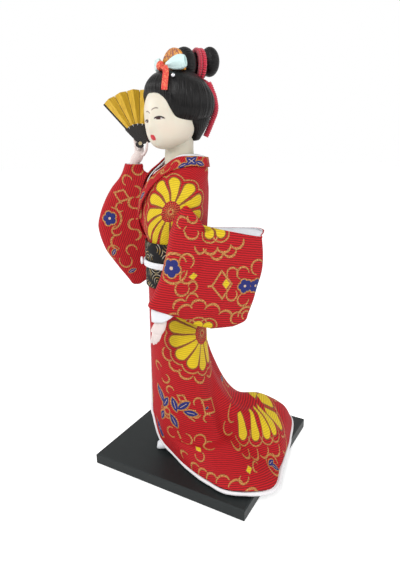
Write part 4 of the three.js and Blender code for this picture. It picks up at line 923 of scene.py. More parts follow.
# %% Skirt and lining
HIP_COLUMN, SKIRT_MIDDLE, SKIRT_SLANT, LINING_STEP = 0.22, (0, 0, 90), 12, 0.025
skirt_patches = patched_brocade("skirt brocade", SKIRT_SLANT, SKIRT_MOTIFS, (8, 45, 95), (-30, 12))
skirt_sheet = laid_grid(SKIRT_ACROSS, SKIRT_DOWN, skirt_point, column=HIP_COLUMN, outward=SKIRT_MIDDLE)
keep("kimono_skirt_cloth", skirt_sheet, skirt_patches, "figure", ["kimono_skirt"], "brocade", wall=CLOTH)


def lining_point(u, v):
    return skirt_point(u, v) - grid_normal(skirt_point, u, v, LINING_STEP) * (CLOTH + GAP)


lining_sheet = laid_grid(SKIRT_ACROSS // 2, SKIRT_DOWN, lining_point, column=HIP_COLUMN,
                         outward=SKIRT_MIDDLE)
keep("skirt_lining_cloth", lining_sheet, white_cotton, "figure", ["skirt_lining"], "white_cloth",
     wall=LINING)

# %% [markdown]
# A padded white roll edges the skirt. On a real dress it is a tube of cloth round a cord of
# wadding, so it is modelled as a tube that follows the hem, slightly lumpy along its length.

# %% A tube along a path
def along_points(points):
    """A function that reads a smooth place along a list of points, t from 0 to 1."""
    spans = [(b - a).length for a, b in zip(points, points[1:])]
    total = sum(spans)
    marks = [0.0]
    for span in spans:
        marks.append(marks[-1] + span / total)
    rows = [(m, *p) for m, p in zip(marks, points)]
    return (lambda t: Vector(read_table(rows, t))), total


ROPE_STEPS = 400


def rope_point(path, radius):
    """Places a tube of radius(u, v) round a path, its side carried along without twisting."""
    line = [path(k / ROPE_STEPS) for k in range(ROPE_STEPS + 1)]
    sides = []
    side = None
    for k in range(ROPE_STEPS + 1):
        along = (line[min(k + 1, ROPE_STEPS)] - line[max(k - 1, 0)]).normalized()
        if side is None:
            side = Vector((1, 0, 0)) if abs(along.z) > 0.7 else Vector((0, 0, 1))
        side = (side - along * side.dot(along)).normalized()
        sides.append((side.copy(), along.cross(side)))

    def place(u, v):
        k = round(v * ROPE_STEPS)
        a = 2 * pi * u
        out = sides[k][0] * cos(a) + sides[k][1] * sin(a)
        return line[k] + out * radius(u, v)
    return place

# %% [markdown]
# The roll starts at the lap, runs down the front edge, round the whole hem and up the edge that
# lies beneath. It is pushed out from the cloth's own edge, and held above the board.

# %% Padded roll along the hem
HEM_ROLL_RADIUS, ROLL_FILL = 1.3, 0.7
EDGE_STEPS, HEM_STEPS, ROLL_TOP, UNDER_ROLL_TOP = 27, 80, 3, 14


def roll_path():
    """Down the front edge, round the hem and up the edge of the lap beneath."""
    reach, middle = HEM_ROLL_RADIUS + 1.6 * GAP, (CLOTH + GAP + LINING) / 2
    step = 2e-3

    def beside(u, v, outward):
        du = skirt_point(min(u + step, 1), v) - skirt_point(max(u - step, 0), v)
        dv = skirt_point(u, min(v + step, 1)) - skirt_point(u, max(v - step, 0))
        normal = dv.cross(du).normalized()
        ways = {"left": dv.cross(normal), "right": normal.cross(dv), "hem": du.cross(normal)}
        away = sum((ways[w].normalized() for w in outward), Vector((0, 0, 0))).normalized()
        point = skirt_point(u, v) - normal * middle + away * reach
        point.z = max(point.z, STAND_THICK + GAP + HEM_ROLL_RADIUS)
        return point

    points = [beside(0, k / EDGE_STEPS, ["left"]) for k in range(ROLL_TOP, EDGE_STEPS + 1)]
    points.append(beside(0, 1, ["left", "hem"]))
    points += [beside(k / HEM_STEPS, 1, ["hem"]) for k in range(HEM_STEPS + 1)]
    points.append(beside(1, 1, ["hem", "right"]))
    points += [beside(1, k / EDGE_STEPS, ["right"]) for k in range(EDGE_STEPS, UNDER_ROLL_TOP, -1)]
    return along_points(points)


def lumpy(_, v):
    return HEM_ROLL_RADIUS * (1 + 0.05 * sin(v * 150) + 0.03 * sin(v * 410))


roll_line, roll_length = roll_path()
roll = laid_grid(12, ROPE_STEPS, rope_point(roll_line, lumpy), closed=True, capped=True, column=0)
hem_roll = keep("hem_roll_cloth", roll, white_satin, "figure", ["hem_roll"], "white_cloth")
print("hem roll, mm", round(roll_length))

# %% [markdown]
# The bodice is stretched over the padded form, so it follows the bust closely and only swells
# over the left shoulder. Its top edge is covered by the collar bands.

# %% Bodice
BODICE_SIDES, BODICE_DOWN = 120, 60
SHOULDER, SHOULDER_AT, SHOULDER_WIDE = 7.2, 98, 28


def collar_top(angle):
    inner, outer = read_table(NECKLINE, abs((angle + 540) % 360 - 180))
    return (inner + outer) / 2


def bodice_point(u, v):
    angle = 360 * u
    z = lerp(collar_top(angle), SKIRT_TOP + GAP, v ** 1.2)
    shoulder = SHOULDER * exp(-((angle - SHOULDER_AT) / SHOULDER_WIDE) ** 2)
    return on_bust(angle, z, shoulder * smooth(z, 222, 208) * smooth(z, 176, 200))


BODICE_MOTIFS = [
    # The shoulder flower and its scallops, then the far side
    *great_flowers((-10.2, 3, 24, 7), (62, -2, 24, 0)),
    *scallops((-33, 22, 5, 60), (-26, 29, 5, 40), (-17, 33, 5, 20), (-7, 35, 5, 10),
              (3, 34, 5, 0), (12, 31, 5, -20), (18, 24, 5, -40), (-36, 12, 5, 80),
              (-36, 2, 5, 100), (-33, -8, 5, 120), (38, 24, 8, 20)),
    *blossoms((38, 24, 5, 0)),
]
bodice = laid_grid(BODICE_SIDES, BODICE_DOWN, bodice_point, closed=True, outward=(0, BODY_Y, 190))
keep("kimono_bodice_cloth", bodice, brocade("bodice brocade", -14, BODICE_MOTIFS), "figure",
     ["kimono_bodice"], "brocade", wall=CLOTH)

# %% [markdown]
# The collars are narrow strips laid round the neck and crossed in front, the left over the right.
# White under collars lie inside them and show as a thin edge. All four are the same strip, laid
# between two angles at its own height and depth.

# %% Collar bands
def band_point(start, end, edges, off, wall):
    """A strip of the neckline between two angles, off the bust by off(angle)."""
    side = -1 if start < 0 else 1

    def place(u, v):
        angle = lerp(start, end, u)
        high, low = edges(angle * side)
        return on_bust(angle, lerp(high, low, v), off(angle * side) + wall)
    return place


def under_edges(angle):
    high = read_table(NECKLINE, angle)[0]
    return high + UNDER_COLLAR_SHOWS, high - 3


COLLAR_SIDES, NAPE_SPLIT, COLLAR_LIFT, LAP = 120, 179.2, 2.3 * GAP, CLOTH + GAP
COLLAR_MOTIFS = [
    # Leaves and curls along the band
    *leaves((-2.8, 0, 4.8, 32), (-2.8, 0, 4.8, -38), (-9.5, -1.4, 4, 15), (2.8, -2.6, 3.6, -20),
            (40, 0, 4.4, 20), (-44, 0, 4.4, -20)),
    *curls((8.4, -1.4, 3.4, 30), (15, 0, 3.8, 200), (-14.5, 0, 3.6, -60), (49, 0, 4, 60),
           (-34, 0, 4, 10)),
    *scallops((21, -1.6, 4.4, 20), (30, 0, 4.4, 10), (-24, 0, 4.4, 180)),
]
collar_cloth = brocade("collar brocade", 60, COLLAR_MOTIFS)
NECK_MIDDLE = (0, BODY_Y, 205)


def left_lift(angle):
    return COLLAR_LIFT + LAP * smooth(-angle, -40, -12)


for word, start, end, off in (("left", NAPE_SPLIT, -26, left_lift),
                              ("right", -NAPE_SPLIT, -3, lambda _: COLLAR_LIFT)):
    outside = band_point(start, end, lambda angle: read_table(NECKLINE, angle), off, CLOTH)
    strip = laid_grid(COLLAR_SIDES, 8, outside, column=0.45, outward=NECK_MIDDLE)
    keep(f"kimono_collar_{word}_cloth", strip, collar_cloth, "figure", [f"kimono_collar_{word}"],
         "brocade", wall=CLOTH)
for word, start, end in (("left", NAPE_SPLIT, 1), ("right", -NAPE_SPLIT, -7)):
    inside = band_point(start, end, under_edges, lambda _: -CLOTH - 1.5 * GAP - LINING, LINING)
    strip = laid_grid(COLLAR_SIDES, 4, inside, column=0.5, outward=NECK_MIDDLE)
    keep(f"under_collar_{word}_cloth", strip, white_cotton, "figure", [f"under_collar_{word}"],
         "white_cloth", wall=LINING)

# %% [markdown]
# The sash is black brocade with wave lines in silver and gold thread. The waves are rings round
# scattered points, and two noises break them up as worn metal thread does.

# %% Black brocade with waves
def sash_lines(nodes, given):
    """Fans of concentric arcs, the old wave pattern, in broken metal thread."""
    cloth = given["Cloth"]
    cell = nodes.add("ShaderNodeTexVoronoi", {"Vector": cloth, "Scale": 0.085, "Randomness": 0.55},
                     voronoi_dimensions="2D")
    rings = nodes.fraction(nodes.times(cell.outputs["Distance"], 6.0))
    line = nodes.below(nodes.absolute(nodes.minus(rings, 0.5)), 0.13, 0.1)
    wide = nodes.noise(cloth, 0.12, 1.0, 0.5, "2D")
    thread = nodes.noise(cloth, 2.0, 2.0, 0.8, "2D")
    shown = nodes.both(line, nodes.times_plus(wide, 6.0, -2.6, clamp=True),
                       nodes.times_plus(thread, 3.0, -0.8, clamp=True))
    tint = nodes.noise(cloth, 0.2, 1.0, 0.5, "2D")
    metal = nodes.mix(nodes.times_plus(tint, 4.0, -1.5, clamp=True), colour(206, 200, 180),
                      colour(196, 160, 70))
    return {"Color": nodes.mix(shown, colour(11, 10, 12), metal), "Height": shown}


sash_pattern = group("sash waves", [("Cloth", VECTOR, None)], [("Color", COLOUR), ("Height", FLOAT)],
                     sash_lines)


def sash_paint():
    paint, nodes, shader = principled("sash brocade", 0.7, Specular_IOR_Level=0.2)
    waves = nodes.use(sash_pattern, Cloth=cloth_uv(nodes))
    nodes.set(shader.inputs["Base Color"], waves["Color"])
    bump(nodes, shader, waves["Height"], 0.1)
    return paint


sash_black = sash_paint()
print("sash nodes", len(sash_pattern.nodes))

# %% [markdown]
# The sash is one turn of stiff brocade, with small creases from tying. The cord over it is a flat
# braid, thickest along its middle, and the clasp is a small ring stretched upright.

# %% Sash, cord and clasp
SASH_MIDDLE = (0, BODY_Y, 158)
cord_low, cord_off = OBI_CORD_Z - OBI_CORD_HIGH / 2, GAP + OBI_WALL + GAP


def braid_point(u, v):
    """The cord bulges out in its middle and turns in at both edges."""
    a = pi * v
    out = on_bust(360 * u, (OBI_LOW + OBI_HIGH) / 2, cord_off + OBI_CORD_WALL * sin(a) ** 0.5)
    return Vector((out.x, out.y, lerp(cord_low + OBI_CORD_HIGH, cord_low, (1 - cos(a)) / 2)))


def obi_point(u, v):
    z = lerp(OBI_HIGH, OBI_LOW, v)
    crease = 0.12 * sin(9 * v + 3 * sin(2 * pi * u)) + 0.1 * sin(4 * pi * u + 5 * v)
    out = on_bust(360 * u, (OBI_LOW + OBI_HIGH) / 2, GAP + OBI_WALL + crease)
    return Vector((out.x, out.y, z))


obi = laid_grid(120, 28, obi_point, closed=True, outward=SASH_MIDDLE)
keep("obi_cloth", obi, sash_black, "figure", ["obi"], "sash", wall=OBI_WALL - 0.2)
braid = laid_grid(120, 12, braid_point, closed=True, outward=SASH_MIDDLE)
keep("obi_cord_braid", braid, white_cotton, "figure", ["obi_cord"], "white_cloth")

CLASP_AT = on_bust(-4, OBI_CORD_Z, cord_off + OBI_CORD_WALL + GAP) + Vector((0, -1, 1.2))


def clasp_point(u, v):
    a, b = 2 * pi * u, 2 * pi * v
    out = 2 + 0.75 * cos(b)
    return CLASP_AT + Vector((0.8 * out * cos(a), 0.75 * sin(b), out * sin(a)))


clasp = laid_grid(32, 14, clasp_point, closed=True)
keep("obi_clasp_ring", clasp, clasp_white, "figure", ["obi_clasp"], "clasp")

# %% [markdown]
# At the back the sash is tied in a flat drum. It is a rounded box that swells in the middle, with
# two folds across it, and it lies against the curve of the back.

# %% Drum knot
KNOT_WIDTH, KNOT_DEPTH, KNOT_LOW, KNOT_HIGH, KNOT_FILL = 36, 12, 145, 176, 0.7
knot_back = on_bust(180, OBI_CORD_Z, cord_off + OBI_CORD_WALL + GAP).y


def boxed(wave, power):
    """A sine or cosine pushed towards 1 and -1, which turns a circle into a rounded box."""
    return abs(wave) ** power * (1 if wave > 0 else -1)


def knot_point(u, v):
    z = lerp(KNOT_HIGH, KNOT_LOW, v)
    swell = sqrt(max(1 - abs(2 * v - 1) ** 3.2, 0))
    a = 2 * pi * u
    half = KNOT_WIDTH / 2 * (0.93 + 0.07 * swell)
    depth = KNOT_DEPTH / 2 * (0.45 + 0.55 * swell)
    x = half * boxed(sin(a), 0.45)
    y = -depth * boxed(cos(a), 0.45)
    fold = 0.5 * exp(-((z - 168) / 1.4) ** 2) + 0.4 * exp(-((z - 151) / 1.2) ** 2)
    y = y - fold if y > 0 else max(y, -depth)
    return Vector((x, max(knot_back + KNOT_DEPTH / 2 + y, knot_back - (x / 20) ** 2 * 6 + 1.2), z))


knot = laid_grid(80, 30, knot_point, closed=True, capped=True, outward=(0, knot_back + 6, 160))
keep("obi_knot_cloth", knot, sash_black, "figure", ["obi_knot"], "sash")

# %% [markdown]
# A long sleeve is a flat bag that hangs from the arm. It is laid as a flattened tube, with its
# front, back, side and thickness in a table by height.

# %% The shapes of the sleeves
LEFT_SLEEVE = [
    (118.6, -8, 8, 37, 0.0), (119.5, -10, 10, 37, 1.8), (122, -18, 16.5, 37, 3.2),
    (127, -27.5, 18.7, 37, 4.2), (132, -38.5, 20.5, 37, 5), (137.5, -50, 22.5, 36.6, 5.4),
    (145, -47, 24.5, 36, 5.6), (157, -41.5, 28, 35, 6), (168, -38, 29, 33.5, 6),
    (178, -35.5, 28.6, 32, 6), (184.6, -34, 28.2, 30.6, 6), (186.6, -33, 2, 30.2, 6),
    (188.6, -32, -11, 29.6, 6.2), (191.6, -30.8, -13.4, 29, 6.2), (195, -28.8, -16, 28.2, 6.2),
    (199, -26.2, -19.4, 27.4, 5.8), (201, -24.4, -21.4, 26.8, 4.6), (201.9, -23.2, -22.8, 26.4, 3),
]
RIGHT_SLEEVE = [
    (130.6, -48, -44.5, -39, 0.0), (131.5, -49.5, -43, -39, 1.6), (136, -52.5, -37.5, -39, 3.4),
    (142, -57, -32.5, -39, 4.8), (150, -62.5, -27, -38.5, 5.8), (160, -68.5, -21.5, -37.5, 6.6),
    (176, -72.6, -14.5, -37, 7.2), (186, -70.8, -10.5, -36, 7.2), (197, -66.5, -9, -34.6, 7),
    (206, -61.5, -9, -33.6, 6.4), (213, -56, -12, -33, 5), (217, -53.5, -35, -37, 4.6),
    (223.5, -51, -39, -37.6, 5),
]
RIGHT_SKEW = 0.32


def sleeve_point(rows, skew, folds):
    low, high = rows[0][0], rows[-1][0]

    def place(u, v):
        z = lerp(high, low, v)
        front, rear, x, half = read_table(rows, z)
        front, rear = min(front, rear), max(front, rear)
        a = 2 * pi * u
        dx = max(half, 0) * boxed(sin(a), 1 / 1.5)
        dy = -(rear - front) / 2 * boxed(cos(a), 1 / 1.5)
        y = (front + rear) / 2 + dy
        return Vector((x + dx + skew * dy + folds(u, y, z), y, z))
    return place


print("sleeve rows", len(LEFT_SLEEVE), len(RIGHT_SLEEVE))

# %% [markdown]
# The left sleeve has a step where the bag leaves the arm, with a hollow beside it. The openings
# are cut with a bisecting plane, which only touches the faces near it, and what would lie inside
# the bodice is taken out.

# %% Folds and openings
def cut_along(shape, outline_from, outline_to, above, keep_if):
    """Cuts the faces that keep_if picks along a line in depth and height, and drops one side."""
    (y0, z0), (y1, z1) = outline_from, outline_to
    way = Vector((0, y1 - y0, z1 - z0)).normalized()
    normal = Vector((0, -way.z, way.y)) * (1 if above else -1)
    picked = [f for f in shape.faces if keep_if(f.calc_center_median() / MM)]
    parts = list({e for f in picked for e in f.edges}) + list({v for f in picked for v in f.verts})
    bmesh.ops.bisect_plane(shape, geom=picked + parts, dist=1e-7, plane_co=Vector((0, y0, z0)) * MM,
                           plane_no=normal, clear_outer=True, clear_inner=False)


FOLD_STEP, FOLD_HOLLOW, WAVE = 1.3, 1.4, 0.9


def left_folds(u, y, z):
    """A soft crease where the bag leaves the arm, and slow waves below it."""
    if not 0 < u < 0.5:
        return 0.0
    crease = lerp(-12, -26, smooth(z, 196, 130))
    shown = smooth(z, 126, 152) * smooth(z, 204, 192) * smooth(u, 0, 0.07)
    return (shown * (FOLD_STEP * smooth(y, crease + 1.1, crease - 1.1)
                     - FOLD_HOLLOW * exp(-((y - crease - 2.2) / 2.4) ** 2))
            + WAVE * exp(-((y + 34) / 6) ** 2) * smooth(z, 130, 150) * smooth(z, 205, 185)
            + 0.5 * sin(y / 7 + z / 16) * smooth(z, 186, 160))


def inside_bust(point, off):
    if not 152 < point.z < 228:
        return False
    half, depth, shift = read_table(BUST, point.z)
    return (point.x / (half + off)) ** 2 + ((point.y - BODY_Y - shift) / (depth + off)) ** 2 < 1

# %% [markdown]
# On a hanging sleeve the places are measured on the doll: depth and height, in millimetres. That
# puts each motif straight where it shows, whatever the folds do.

# %% The sleeves' patterns
LEFT_MOTIFS = [
    # Under the arm
    *petals((-6, 200, 20, 258), (-6, 200, 20, 285)),
    *scallops((-16, 176.5, 4.6, 170), (-9, 176, 4.8, 190), (0, 176.5, 4.8, 195),
              (9, 178.5, 4.8, 210), (-5, 172, 4.4, 195), (4, 173, 4.4, 200)),
    *curls((-22, 186, 4.4, 120), (-27, 192, 3.6, 0), (-20, 195, 3.4, 160)),
    # The middle of the bag
    *blossoms((-36.5, 164, 5.8, 20), (14.6, 148, 4.8, 0), (22.8, 147.2, 4.8, 36)),
    *scallops((-35, 164.5, 8.8, 20), (-35, 163, 8.6, 190)),
    *curls((-26.5, 168, 4.6, -60), (-27, 158, 4, 100), (-30, 150.5, 4.6, 120),
           (-22.5, 151, 3.6, -80), (5.5, 157.5, 3.8, -40), (5, 143, 3.8, 150), (13, 157, 4.2, 0),
           (13.5, 138.6, 4.2, 110), (24, 160, 5, 10), (24, 136, 4.6, 200)),
    *buds((-22, 158, 2.4, 90), (1, 151, 2.5, 0)),
    *boxes((-2, 150.5, 7, 0)),
    *stems((-11.5, 150.5, 3, 0)),
    *petals((-18, 105, 22, 112), (-18, 105, 22, 90)),
    # Along the bottom
    *petals((-18, 105, 22, 68)),
    *scallops((-35, 129, 5, 40), (-27, 134, 5.2, 25), (-18, 136.5, 5.2, 10), (-9, 133, 5.2, -5),
              (0, 127.5, 5.2, -20), (-31, 139, 4.4, 40), (-22.5, 142, 4.4, 20), (16, 127, 6, 20)),
    *curls((9, 126, 4.4, 30), (16, 127, 3, 0)),
]
RIGHT_MOTIFS = [
    # A vine down the outer side, then the flowers of the other
    *vine((-46, 204, 4, -90), (-47.4, 196, 4, 90), (-46.4, 188, 4, -90), (-48, 180, 4, 90),
          (-47, 172, 4, -90)),
    *boxes((-56.5, 201, 4.6, 70)),
    *curls((-58, 192.6, 3.2, 60), (-61, 175, 3.6, 100), (-64, 158, 5.4, 30), (-55, 151, 5, 150),
           (-50, 160, 4, 0), (-43, 220, 4, 100), (-52, 212, 3.6, 0)),
    *blossoms((-66.5, 184, 5.2, 0), (8, 148, 5.2, 0)),
    *scallops((-66, 184, 8.4, -80), (-59.5, 166, 6, 100), (40, 148, 6, 20)),
    *leaves((-64, 158, 3.6, 60), (-50, 143, 3.6, 30)),
    *great_flowers((30, 178, 24, 5)),
]
print("sleeve motifs", len(LEFT_MOTIFS), len(RIGHT_MOTIFS))

# %% [markdown]
# Each sleeve is laid twice: the brocade, and a white lining a cloth's thickness inside it. The left
# one is cut open at the mouth behind, along its far top edge and at the wrist.

# %% Both sleeves with their linings
def right_folds(_, y, z):
    return 0.6 * sin(y / 6 + z / 9) * smooth(z, 210, 180) * smooth(z, 132, 150)


PATCH_ACROSS, PATCH_DOWN = (-9, 29), (144, 165)
MOUTH, WRIST = ((-8, 187.8), (24.5, 180.3)), ((-60, 142.8), (-26.5, 128.2))
FAR_TOP, MIDDLE_X, MOUTH_Y, MOUTH_Z = ((-9, 186.2), (29, 184.4)), 31.6, -8.6, 190.5
LEFT_CUTS = [
    (*MOUTH, True, lambda p: p.x > MIDDLE_X and p.y > MOUTH_Y and p.z < MOUTH_Z),
    (*FAR_TOP, True, lambda p: p.x <= MIDDLE_X and p.y > MOUTH_Y and p.z < MOUTH_Z),
    (*WRIST, False, lambda p: p.y < -26.5),
]


def sleeve_layer(name, rows, skew, folds, inset, cuts):
    inner = [(z, front + inset, rear - inset, x, max(half - inset, 0))
             for z, front, rear, x, half in rows]
    bag = laid_grid(96, 110, sleeve_point(inner, skew, folds), closed=True, hanging=True,
                    outward=(rows[8][3], -10, 165))
    for start, end, above, keep_if in cuts:
        cut_along(bag, start, end, above, keep_if)
    hidden = [v for v in bag.verts if inside_bust(v.co / MM, 0.2 + inset)]
    bmesh.ops.delete(bag, geom=hidden, context="VERTS")
    print(name, "vertices inside the bodice taken out:", len(hidden))
    return bag


for word, rows, skew, folds, drawn, slant, cuts in (
        ("left", LEFT_SLEEVE, 0, left_folds, LEFT_MOTIFS, 9, LEFT_CUTS),
        ("right", RIGHT_SLEEVE, RIGHT_SKEW, right_folds, RIGHT_MOTIFS, -70, [])):
    patches = patched_brocade(f"{word} sleeve brocade", slant, drawn, PATCH_ACROSS, PATCH_DOWN)
    for layer, inset, wall, paint, slot in (
            ("sleeve", 0, CLOTH, patches, "brocade"),
            ("sleeve_lining", CLOTH + GAP, LINING, white_cotton, "white_cloth")):
        bag = sleeve_layer(f"{word} {layer}", rows, skew, folds, inset, cuts)
        keep(f"{word}_{layer}_cloth", bag, paint, "figure", [f"{word}_{layer}"], slot, wall=wall)

# %% [markdown]
# The white inner sleeve shows as a slanting cuff round the left wrist. Each row of its table is
# one ring: height, depth, side, half width, half depth and how much it rises behind.

# %% Left cuff
CUFF = [(0, 141, -39.6, 36.1, 3.2, 6.2, 0), (1, 136, -41, 36.6, 3.9, 7.4, 0),
        (2, 128.2, -41.1, 37.2, 3.8, 7.5, 0.42)]
CUFF_RISES_FROM = -41.5


def cuff_point(u, v):
    z, y, x, half, reach, slant = read_table(CUFF, 2 * v)
    a = 2 * pi * u
    point = Vector((x + half * sin(a), y - reach * cos(a), z))
    point.z += slant * max(0, point.y - CUFF_RISES_FROM)
    return point


cuff = laid_grid(64, 20, cuff_point, closed=True, outward=(37, -39, 134))
keep("left_cuff_cloth", cuff, white_cotton, "figure", ["left_cuff"], "white_cloth", wall=LINING)

# %% [markdown]
# Hands are small and smooth, moulded in one piece. They are placed from the wrists and from the
# fan: its rivet, the way it faces, and the angle from each of its nine sticks to the next.

# %% Places of the hands and the fan
LEFT_WRIST, RIGHT_WRIST = Vector((36.7, -41, 133)), Vector((-36.9, -45, 219))
FAN_AT, FAN_FACES = Vector((-35, -40.2, 238)), radians(-8)
FAN_STICKS, FAN_FIRST, FAN_STEP, FAN_RADIUS, LEAF_INNER = 9, -42, 14.5, 36, 13.6
STICK_THICK, STICK_PITCH, LEAF_THICK, PLEAT_SHARE = 0.4, 0.56, 0.25, 0.055
MELT_SIZE = 0.32
HALF_STACK = ((FAN_STICKS - 1) * STICK_PITCH + STICK_THICK) / 2
fan_normal = Vector((cos(FAN_FACES), sin(FAN_FACES), 0))
fan_side = Vector((-sin(FAN_FACES), cos(FAN_FACES), 0))
print("closed fan, mm thick", round(2 * HALF_STACK, 2))

# %% [markdown]
# A limb is a row of rings along a smooth line, bridged one to the next. A voxel remesh then takes
# palm and fingers as one body, and a light smoothing rounds what is left of the voxels.

# %% Limbs and fingers
def limb(shape, points, widths, depths):
    """Adds a closed tapered limb with rounded ends to a shape."""
    path, _ = along_points([Vector(p) for p in points])
    last = len(points) - 1
    rows = [(k / last, w, d) for k, (w, d) in enumerate(zip(widths, depths))]
    steps, sides = 18, 12
    previous = None
    for k in range(steps + 1):
        t = k / steps
        along = (path(min(t + 0.02, 1)) - path(max(t - 0.02, 0))).normalized()
        side = Vector((0, -1, 0)).cross(along).normalized()
        up = along.cross(side)
        wide, deep = read_table(rows, t)
        rounding = sqrt(max(1 - max(0, (abs(2 * t - 1) - 0.82) / 0.18) ** 2, 0.02))
        ring = bmesh.ops.create_circle(shape, segments=sides, radius=1)["verts"]
        for n, vertex in enumerate(ring):
            a = 2 * pi * n / sides
            vertex.co = (path(t) + side * wide * rounding * cos(a)
                         + up * deep * rounding * sin(a)) * MM
        edges = [shape.edges.get((ring[n], ring[(n + 1) % sides])) for n in range(sides)]
        if previous:
            bmesh.ops.bridge_loops(shape, edges=previous + edges)
        else:
            bmesh.ops.contextual_create(shape, geom=edges)
        previous = edges
    bmesh.ops.contextual_create(shape, geom=previous)


def melted_hand(word, shape):
    """Keeps a hand whose limbs are joined by a remesh and then relaxed."""
    bmesh.ops.recalc_face_normals(shape, faces=shape.faces)
    piece = keep(f"{word}_hand_moulded", shape, skin, "figure", [f"{word}_hand"], "skin")
    remesh = piece.modifiers.new("melt", "REMESH")
    remesh.mode = "VOXEL"
    remesh.voxel_size = MELT_SIZE * MM
    remesh.use_smooth_shade = True
    relax = piece.modifiers.new("relax", "SMOOTH")
    relax.factor, relax.iterations = 0.5, 6
    bpy.context.view_layer.update()
    graph = bpy.context.evaluated_depsgraph_get()
    done = bpy.data.meshes.new_from_object(piece.evaluated_get(graph))
    piece.modifiers.clear()
    piece.data = done
    for polygon in done.polygons:
        polygon.use_smooth = True
    print(word, "hand melted to", len(done.polygons), "faces")


def finger(shape, start, bend, end, radius):
    widths = [radius, radius * 0.95, radius * 0.7]
    limb(shape, [start, bend, end], widths, widths)

# %% [markdown]
# The left hand hangs out of its sleeve. Each finger is given by its place across the palm and how
# far it drops; the thumb comes last.

# %% Left hand
left = bmesh.new()
wx, wy, wz = LEFT_WRIST
limb(left, [(wx, wy, wz - GAP), (wx + 0.5, wy - 1.2, wz - 6), (wx + 0.9, wy - 3, wz - 11),
            (wx + 0.9, wy - 4.2, wz - 14)], [2.2, 2.2, 2.1, 1.5], [2.8, 3.6, 4, 3.2])
for aside, drop in ((-2.6, 4.2), (-0.9, 5), (0.8, 4.8), (2.4, 4)):
    finger(left, (wx + 1.1, wy - 4 + aside, wz - 11.4),
           (wx + 1, wy - 5 + aside * 0.95, wz - 12.4 - drop),
           (wx + 0.3, wy - 6 + aside * 0.9, wz - 12.4 - drop * 1.85), 1.0)
finger(left, (wx + 0.1, wy - 3.4, wz - 5), (wx - 0.2, wy - 6, wz - 9),
       (wx - 0.4, wy - 7.8, wz - 12.6), 1.25)
melted_hand("left", left)

# %% [markdown]
# The right hand holds the fan below its rivet. Its places are given in the fan's own directions,
# with the fingers behind the closed stack of sticks and the thumb in front.

# %% Right hand on the fan
def on_fan(angle, radius, lift):
    a = radians(angle)
    return FAN_AT + Vector((0, 0, 1)) * radius * cos(a) + fan_side * radius * sin(a) + fan_normal * lift


def by_fan(aside, up, lift):
    return on_fan(0, 0, lift) + fan_side * aside + Vector((0, 0, up))


right_hand = bmesh.new()
rx, ry, rz = RIGHT_WRIST
behind = -(HALF_STACK + 0.5 + GAP)
in_front = HALF_STACK + 0.5 + GAP + 1.1
limb(right_hand, [(rx, ry, rz + GAP), (rx + 0.2, ry + 0.6, rz + 6), by_fan(-1.6, -9, -1.6),
                  by_fan(-0.6, -5.4, -2.6)], [2.3, 2.7, 3, 2.2], [3, 3.6, 4, 3])
for aside, reach in ((-3.2, 3.2), (-1.5, 4.6), (0.2, 4.8), (1.9, 3.8)):
    finger(right_hand, by_fan(aside, -7.8, -2.2), by_fan(aside - 0.4, -1, behind - 1.1),
           by_fan(aside - 1, reach, behind - 1), 1.0)
finger(right_hand, by_fan(1.6, -9, -0.4), by_fan(4, -5, in_front * 0.7), by_fan(5.2, 1.4, in_front), 1.15)
melted_hand("right", right_hand)

# %% [markdown]
# The face is a smooth egg with almost nothing modelled on it: a low nose, a hint of lips and of
# eye hollows. The skull's table gives half width, front and back by height.

# %% Skull and neck
def ring_at(rows, u, z):
    """A place on a ring of a table with columns height, half width, front and back."""
    half, front, rear = read_table(rows, z)
    a = 2 * pi * u
    return half * sin(a), (front + rear) / 2 - (rear - front) / 2 * cos(a)


SKULL = [
    (235.2, 0.1, -12.4, -12.2), (235.6, 3, -15, -9.6), (236.8, 7, -17.8, -4), (239.4, 11, -20.2, 3),
    (243.4, 14.1, -22.2, 7.6), (248.4, 16.2, -23.1, 11.4), (254.4, 17.6, -23.7, 14.3),
    (261.4, 18.1, -23.5, 16.2), (268, 17.2, -21.4, 16.2), (274, 13.9, -16.8, 13.9),
    (278.6, 8.2, -10.1, 8.6), (280.6, 0.1, -1, 0),
]
NECK_RADIUS, NECK_SEAT_Z = 9.9, 225
FACE_TURN = radians(7.5)
NOSE_Z, LIP_Z, EYE_Z, EYE_APART, FAR_EYE_DROP = 248.5, 242.8, 254.6, 5.7, 2.0


def face_relief(x, y, z):
    """How far nose, lips and eye hollows move the face out, at a place on the head."""
    across = x * cos(FACE_TURN) + y * sin(FACE_TURN)
    nose = 2.1 * exp(-(across / 2.2) ** 2) * exp(-((z - NOSE_Z) / 3.2) ** 2)
    bridge = 0.7 * exp(-(across / 2) ** 2) * exp(-((z - NOSE_Z - 5) / 4) ** 2)
    lips = 0.6 * exp(-(across / 2.4) ** 2) * exp(-((z - LIP_Z) / 1.4) ** 2)
    hollow = 0.7 * exp(-((abs(across) - EYE_APART) / 3.4) ** 2) * exp(-((z - EYE_Z) / 3) ** 2)
    return (nose + bridge + lips - hollow) * max(0, -y / 24)


def skull_point(u, v):
    z = lerp(SKULL[-1][0], SKULL[0][0], v)
    x, y = ring_at(SKULL, u, z)
    out = face_relief(x, y, z)
    return on_head(x + out * sin(FACE_TURN), y - out * cos(FACE_TURN), z)


def neck_point(u, v):
    z = lerp(250, NECK_SEAT_Z + GAP, v)
    radius = NECK_RADIUS - 0.4 * smooth(z, 228, 236) + 0.2 * smooth(z, 236, 250)
    a = 2 * pi * u
    return on_head(radius * sin(a), -radius * cos(a), z)


print("nose stands out, mm", round(face_relief(0, -24, NOSE_Z), 1))

# %% [markdown]
# Eyes, brows and lips are painted, so they belong in the material. An oval or a bent stroke masks
# each colour, in the head's own directions and in millimetres, and both sides are drawn at once.

